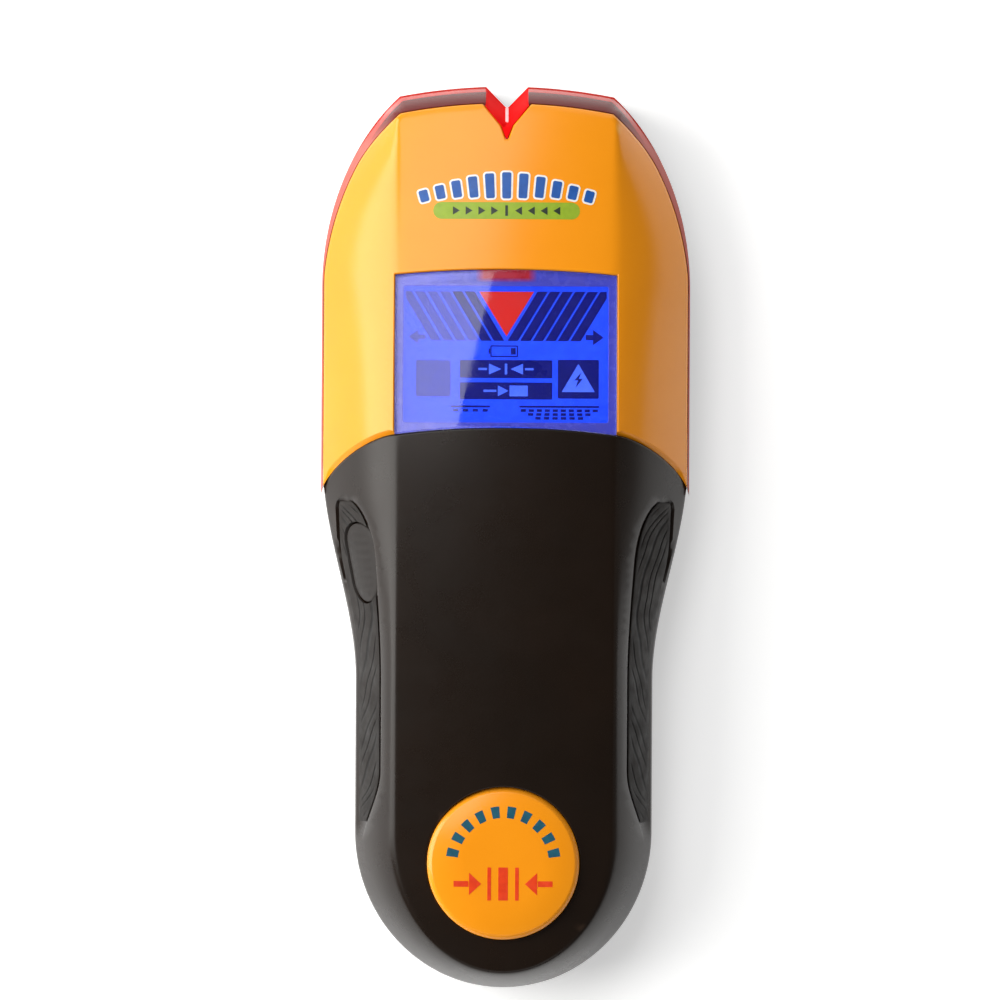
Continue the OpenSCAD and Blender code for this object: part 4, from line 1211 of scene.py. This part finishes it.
def arrow_loop(x, y, w, l):
    """Arrow that points to the tail."""
    return np.array(dense([(x - w / 5, y + l / 2), (x - w / 5, y), (x - w / 2, y), (x, y - l / 2),
                           (x + w / 2, y), (x + w / 5, y), (x + w / 5, y + l / 2),
                           (x - w / 5, y + l / 2)], 0.5)[:-1])


def ridge_loop(y):
    return rounded_box_loop(-DOOR_RIDGE_W / 2, DOOR_RIDGE_W / 2, y - DOOR_RIDGE_T / 2,
                            y + DOOR_RIDGE_T / 2, 0.6)


DOOR_RECESSES = [(ridge_loop(DOOR_RIDGE_Y - k * DOOR_RIDGE_PITCH), RIDGE_DEPTH) for k in range(DOOR_RIDGES)]
DOOR_RECESSES.append((arrow_loop(0, DOOR_ARROW_Y, 7, 8), ARROW_DEPTH))


def make_battery_door():
    outline = housing_outline(DOOR_Y - DOOR_GAP, False)
    rows = []
    for loop, _ in DOOR_RECESSES:
        ring = np.array(dense([tuple(p) for p in loop] + [tuple(loop[0])], 0.5)[:-1])
        ring = turned(ring, True)
        rows += [ring, inset(ring, 0.15), inset(ring, 0.3)]
    return plate("battery_door_shell", [outline], door_z, HOUSING, edge=bottom_edge(DOOR_Y - DOOR_GAP),
                 thick=2.0, spacing=1.3, skirt=DOOR_HI[2], wall=HOUSING_WALL, up=-1, rows=rows,
                 body="battery_door", slot="black_plastic", stands_for=["battery_door"])


# ---------------------------------------------------------------- window, badge, beam
def window_loop(grow):
    return closed(lower_arch(CREASE_X + grow, -grow) + window_edge(grow)[1:])


WINDOW_T = 1.4
BORDER_DROP = WINDOW_T + 0.15


def make_window():
    return plate("display_window_pane", [window_loop(0)], lambda p: panel_z(p[:, 0], p[:, 1]) - 0.05,
                 CLEAR, edge=0.2, thick=WINDOW_T, spacing=1.6, slot="clear_window",
                 stands_for=["display_window"])


def make_window_border():
    """Border round the underside of the window, painted with the glow of the display's light in the window's
    edge.
    """
    inner = rounded_box_loop(LCD_LO[0] + 0.1, LCD_HI[0] - 0.1, LCD_LO[1] + 0.9, LCD_HI[1] - 0.5, 0.4)
    return plate("display_window_border", [window_loop(-0.05), inner],
                 lambda p: panel_z(p[:, 0], p[:, 1]) - BORDER_DROP, BORDER_PAINTED_GLOW, edge=0.14, thick=0.3,
                 spacing=1.2, slot="clear_window")


# ---------------------------------------------------------------- display
LCD_TOP = LCD_HI[2]
MARK_T = 0.06
TIP_X = 0.1


def mark(name, shapes, material, z, slot="lcd", thick=MARK_T, height=None, holes=None):
    """Flat shapes lying on a surface, joined as one piece."""
    verts, faces = [], []
    for shape in shapes:
        loops = shape if isinstance(shape, list) else [shape]
        if height:
            loops = [dense([tuple(p) for p in loop] + [tuple(loop[0])])[:-1] for loop in loops]
        loops = [turned(np.asarray(loop, float), k == 0) for k, loop in enumerate(loops)]
        plan, tris, index = fill(loops, 1.0)
        top = height(plan) + z if height else np.full(len(plan), float(z))
        start, count = len(verts), len(plan)
        verts += [(*p, t) for p, t in zip(plan, top)] + [(*p, t - thick) for p, t in zip(plan, top)]
        faces += [tuple(start + v for v in t) for t in tris]
        faces += [(start + count + c, start + count + b, start + count + a) for a, b, c in tris]
        first = 0
        for loop in loops:
            n = len(loop)
            ring = [index[first + k] for k in range(n)]
            first += n
            faces += [(start + ring[k], start + count + ring[k], start + count + ring[(k + 1) % n],
                       start + ring[(k + 1) % n]) for k in range(n)]
    return add_piece(name, verts, faces, material, slot=slot)


def box_shape(x, y, w, h, r=0.0):
    if r:
        return rounded_box_loop(x - w / 2, x + w / 2, y - h / 2, y + h / 2, r)
    return np.array([(x - w / 2, y - h / 2), (x + w / 2, y - h / 2), (x + w / 2, y + h / 2),
                     (x - w / 2, y + h / 2)])


BAR_Y0, BAR_Y1 = 36.9, 46.2
BAR_PITCH, BAR_GAP, BAR_LEAN = 2.36, 0.38, 5.6
BAR_EDGE = 18.9


def slanted_bar(k, side):
    """Signal bar number k from the middle, leaning outward, cut off at the edge of the display."""
    x0 = TIP_X + k * BAR_PITCH + BAR_GAP / 2
    x1 = x0 + BAR_PITCH - BAR_GAP
    corners = [(x0, BAR_Y0), (x1, BAR_Y0), (x1 + BAR_LEAN, BAR_Y1), (x0 + BAR_LEAN, BAR_Y1)]
    if x1 + BAR_LEAN > BAR_EDGE:
        cut_y = BAR_Y0 + (BAR_Y1 - BAR_Y0) * (BAR_EDGE - x1) / BAR_LEAN
        corners[2:3] = [(BAR_EDGE, cut_y), (BAR_EDGE, BAR_Y1)]
    return np.array([(side * x, y) for x, y in corners])


def arrow_shape(x, y, w, h, side):
    """Short arrow that points outward from x."""
    points = [(0, -h / 6), (w * 0.4, -h / 6), (w * 0.4, -h / 2), (w, 0), (w * 0.4, h / 2),
              (w * 0.4, h / 6), (0, h / 6)]
    return np.array([(x + side * px, y + py) for px, py in points])


def battery_shape(x, y, w, h, wall=0.22):
    """Low-battery sign: an empty outline with a short block in it."""
    case = [box_shape(x, y, w, h, 0.2), box_shape(x, y, w - 2 * wall, h - 2 * wall, 0.1)]
    return [case, box_shape(x - w / 2 - 0.2, y, 0.3, h * 0.45), box_shape(x + w / 2 - 0.9, y, 0.9, h * 0.55)]


def make_lcd_marks():
    z = LCD_TOP + MARK_T
    navy = [slanted_bar(k, 1) for k in range(6)] + [slanted_bar(k, -1) for k in range(2)]
    navy.append(arrow_shape(15.0, 37.6, 3.4, 2.9, 1))
    navy += battery_shape(-0.3, 34.95, 5.2, 2.2)
    navy += [box_shape(0.05, y, 17.4, h, 0.15) for y, h in ((31.6, 3.4), (27.5, 3.2))]
    navy.append(box_shape(13.65, 29.75, 7.7, 7.3, 0.2))
    navy += depth_sign(-6.6, 23.4, 7.4, 1) + depth_sign(10.1, 23.4, 15, 3)
    mark("lcd_dark_marks", navy, NAVY, z)
    ghost = [slanted_bar(k, -1) for k in range(2, 6)]
    ghost += [arrow_shape(-15.0, 37.6, 3.4, 2.9, -1), box_shape(-13.6, 29.8, 6.6, 6.9, 0.2)]
    mark("lcd_faint_marks", ghost, GHOST, z)
    light = centre_sign(0.05, 31.6, 2.0) + edge_sign(0.05, 27.5, 2.0)
    light.append(np.array([(13.65 - 3.1, 27.35), (13.65 + 3.1, 27.35), (13.65, 32.6)]))
    mark("lcd_light_marks", light, LCD_LIGHT, z + MARK_T)
    mark("lcd_bolt_mark", [bolt_shape(13.65, 29.6, 3.0)], NAVY, z + 2 * MARK_T)
    mark("lcd_pointer_mark", [np.array([(TIP_X - 5.15, 46.15), (TIP_X, 37.75), (TIP_X + 5.15, 46.15)])],
         POINTER_RED, z + 3 * MARK_T)


def centre_sign(x, y, h):
    """Two arrowheads that meet at an upright bar."""
    heads = [np.array([(x + s * 3.2, y - h / 2), (x + s * 3.2, y + h / 2), (x + s * 0.9, y)])
             for s in (-1, 1)]
    return heads + [box_shape(x, y, 0.45, h)] + [box_shape(x + s * 4.4, y, 1.6, 0.4) for s in (-1, 1)]


def edge_sign(x, y, h):
    """Arrow that meets the side of a block."""
    block = box_shape(x + 2.4, y, 3.4, h)
    head = np.array([(x - 1.5, y - h / 2), (x - 1.5, y + h / 2), (x + 0.45, y)])
    return [block, head, box_shape(x - 3.0, y, 2.4, 0.4)]


def depth_sign(x, y, w, layers):
    """Row of blocks under a line: more layers mean a deeper scan."""
    shapes = [box_shape(x, y + 1.15, w, 0.36)]
    for k in range(layers):
        width = w * (1 - 0.18 * k)
        count = max(1, int(width / 1.5))
        shapes += [box_shape(x - width / 2 + (i + 0.5) * width / count, y + 0.42 - 0.72 * k, 1.0, 0.5)
                   for i in range(count)]
    return shapes


def bolt_shape(x, y, h):
    points = [(0.25, 0.5), (-0.32, -0.02), (-0.02, -0.02), (-0.22, -0.5), (0.34, 0.08), (0.04, 0.08)]
    return np.array([(x + px * h * 0.8, y + py * h) for px, py in points])


def make_lcd():
    inner = rounded_box_loop(LCD_LO[0], LCD_HI[0], LCD_LO[1], LCD_HI[1], 0.3)
    return plate("lcd_glass_cell", [inner], flat(LCD_TOP), LCD_BLUE, edge=0.08,
                 thick=LCD_TOP - LCD_LO[2], spacing=3.0, slot="lcd", stands_for=["lcd_glass"])


# ---------------------------------------------------------------- printed marks on the covers
PRINT_LIFT = 0.03


def arched(x, y, radius_y):
    """Moves a point of a straight row onto an arch whose middle is at its height."""
    angle = x / radius_y
    r = radius_y + y
    return (r * math.sin(angle), r * math.cos(angle) - radius_y)


def bar_row(count, pitch, w, heights, grow, centre_y, radius):
    """Arched row of upright bars, widened by grow."""
    shapes = []
    for k in range(count):
        x = (k - (count - 1) / 2) * pitch
        h = heights[k]
        loop = rounded_box_loop(x - w / 2 - grow, x + w / 2 + grow, -h / 2 - grow, h / 2 + grow, 0.35 + grow)
        moved = [arched(px, py, radius) for px, py in loop]
        shapes.append(np.array([(px, centre_y + py) for px, py in moved]))
    return shapes


def make_cover_prints():
    """Generic marks: a row of bars that peaks over the stud, and a green strip of arrows below."""
    count, pitch = 11, 3.15
    middle = (count - 1) / 2
    heights = [2.0 + 3.0 * math.exp(-((k - middle) / 3.2) ** 2) for k in range(count)]
    mark("cover_print_outline", bar_row(count, pitch, 1.7, heights, 0.35, 66.2, 60), PRINT_WHITE,
         PRINT_LIFT, "yellow_plastic", height=front_z)
    mark("cover_print_bars", bar_row(count, pitch, 1.7, heights, 0, 66.2, 60), PRINT_BLUE,
         PRINT_LIFT + 0.03, "yellow_plastic", height=front_z)
    mark("cover_print_strip", [box_shape(0, 61.4, 27.6, 3.2, 1.55)], PRINT_GREEN, PRINT_LIFT,
         "yellow_plastic", height=front_z)
    arrows = [box_shape(0, 61.4, 0.5, 2.0)]
    for side in (-1, 1):
        for k in range(4):
            x = side * (1.6 + 2.4 * k)
            arrows.append(np.array([(x, 61.4), (x + side * 1.3, 62.2), (x + side * 1.3, 60.6)]))
    mark("cover_print_arrows", arrows, PRINT_DARK, PRINT_LIFT + 0.03, "yellow_plastic", height=front_z)


def ring_sector(x, y, r0, r1, a0, a1, steps=6):
    out = [(x + r1 * math.cos(a), y + r1 * math.sin(a)) for a in np.linspace(a0, a1, steps)]
    back = [(x + r0 * math.cos(a), y + r0 * math.sin(a)) for a in np.linspace(a1, a0, steps)]
    return np.array(out + back)


def make_badge_prints():
    """Generic marks: an arc of teal blocks, and a red sign of arrows that meet at a stud."""
    z = BADGE_HI[2] + MARK_T / 2
    arc = []
    blocks = 10
    for k in range(blocks):
        a = math.radians(168 - k * 156 / (blocks - 1))
        half = math.radians(4.4)
        arc.append(ring_sector(0, BADGE_Y, 8.6, 10.8, a - half, a + half))
    mark("badge_print_arc", arc, PRINT_TEAL, z, "yellow_plastic")
    y = BADGE_Y - 3.8
    red = [box_shape(0, y, 1.8, 6.2)]
    for s in (-1, 1):
        red.append(box_shape(s * 2.6, y, 0.7, 6.2))
        red.append(np.array([(s * 4.1, y), (s * 6.4, y + 2.1), (s * 6.4, y - 2.1)]))
        red.append(box_shape(s * 7.9, y, 2.8, 1.1))
    mark("badge_print_sign", red, PRINT_RED, z, "yellow_plastic")


def make_beam():
    """Clear blade whose lit leaning edge shows as the slit in the notch."""
    half = 0.3
    top_z = float(crest(np.array(NOSE_Y - NOSE_SLOPE)))
    lean = NOSE_SLOPE / (top_z - NOSE_SIDE_Z)
    apex = NOSE_Y - NOTCH_D + 0.38
    high = BLADE_HI[2]
    side = [(BLADE_LO[1], BLADE_LO[2]), (apex, BLADE_LO[2]), (apex, NOSE_SIDE_Z),
            (apex - lean * (high - NOSE_SIDE_Z), high), (BLADE_LO[1], high)]
    loop = np.array(dense(side + side[:1], 0.6)[:-1])

    def place(v):
        return np.column_stack([v[:, 2], v[:, 0], v[:, 1]])
    return plate("beam_guide_blade", [loop], flat(half), BEAM, edge=0.08, thick=2 * half, spacing=1.0,
                 place=place, slot="clear_plastic", stands_for=["beam_guide"])


def make_badge():
    z0, z1 = BADGE_LO[2], BADGE_HI[2]
    r = BADGE_R
    profile = [(0, z0), (r - 0.2, z0), (r, z0 + 0.2), (r, z1 - 0.95), (r - 0.08, z1 - 0.82),
               (r - 0.8, z1 - 0.06), (r - 0.95, z1), (r * 0.5, z1), (0, z1)]
    return lathe("badge_disc_face", profile, (0, BADGE_Y), YELLOW, slot="yellow_plastic",
                 stands_for=["badge_disc"], sharp=math.radians(25))


make_top_cover()
make_handle_cover()
make_nose_lens()
make_grip(1)
make_grip(-1)
make_button()
make_back_housing()
make_tail_rim()
make_battery_door()
make_window()
make_window_border()
make_lcd()
make_lcd_marks()
make_badge()
make_badge_prints()
make_cover_prints()
make_beam()

# ---------------------------------------------------------------- room, light and camera
def look_at(obj, place, target):
    obj.location = place
    direction = Vector(target) - Vector(place)
    obj.rotation_euler = direction.to_track_quat("-Z", "Y").to_euler()


def area_light(name, place, target, width, height, power, colour=(1, 1, 1)):
    data = bpy.data.lights.new(name, "AREA")
    data.shape = "RECTANGLE"
    data.size, data.size_y = width, height
    data.energy = power
    data.color = colour
    obj = bpy.data.objects.new(name, data)
    bpy.context.scene.collection.objects.link(obj)
    look_at(obj, place, target)
    return obj


def make_floor():
    reach, z = 3.0, -0.0003
    mesh = bpy.data.meshes.new("floor")
    corners = [(-reach, -reach, z), (reach, -reach, z), (reach, reach, z), (-reach, reach, z)]
    mesh.from_pydata(corners, [], [(0, 1, 2, 3)])
    look = Look("floor_white")
    look.colour(look.mix(look.noise(3), (0.94, 0.94, 0.94, 1), (0.96, 0.96, 0.96, 1)))
    look.roughness(0.9)
    look.shader.inputs["Emission Color"].default_value = (1, 1, 1, 1)
    look.shader.inputs["Emission Strength"].default_value = 0.42
    mesh.materials.append(look.material)
    floor = bpy.data.objects.new("floor", mesh)
    bpy.context.scene.collection.objects.link(floor)


def make_camera():
    """Camera straight above. The view is view_w wide at the height plane_z."""
    data = bpy.data.cameras.new("camera")
    sensor, distance, view_w, plane_z = 36, 1.2, 0.1906, 0.012
    data.sensor_width = sensor
    data.lens = sensor * (distance - plane_z) / view_w
    cam = bpy.data.objects.new("camera", data)
    bpy.context.scene.collection.objects.link(cam)
    cam.location = (-0.00095, 0.00696, distance)
    cam.rotation_euler = (0, 0, math.radians(0.3))
    data.clip_start, data.clip_end = 0.05, 20
    bpy.context.scene.camera = cam


make_floor()
make_camera()
world = bpy.data.worlds.new("room")
bpy.context.scene.world = world
world.use_nodes = True
world.node_tree.nodes["Background"].inputs[0].default_value = (1, 1, 1, 1)
world.node_tree.nodes["Background"].inputs[1].default_value = 0.07
MIDDLE = (0, 0, 0.02)
area_light("key_left", (-0.95, 0.15, 0.5), MIDDLE, 0.9, 1.3, 20, (1, 0.99, 0.96))
# The soft box faces straight down. Its slanted edge is what the window and the panel mirror.
soft_box = area_light("soft_box", (-0.4, 0.856, 1.6), (-0.4, 0.856, 0), 0.8, 1.4, 11.6)
soft_box.rotation_euler = (0, 0, math.radians(-19.8))
area_light("front_fill", (0.05, -1.0, 0.7), MIDDLE, 1.1, 0.6, 2.2)
area_light("back_fill", (0.1, 1.1, 0.6), MIDDLE, 1.1, 0.6, 2.2)
area_light("fill_right", (1.0, -0.1, 0.5), MIDDLE, 0.5, 1.0, 0.4, (1, 0.93, 0.86))
bpy.context.scene.view_settings.view_transform = "Standard"
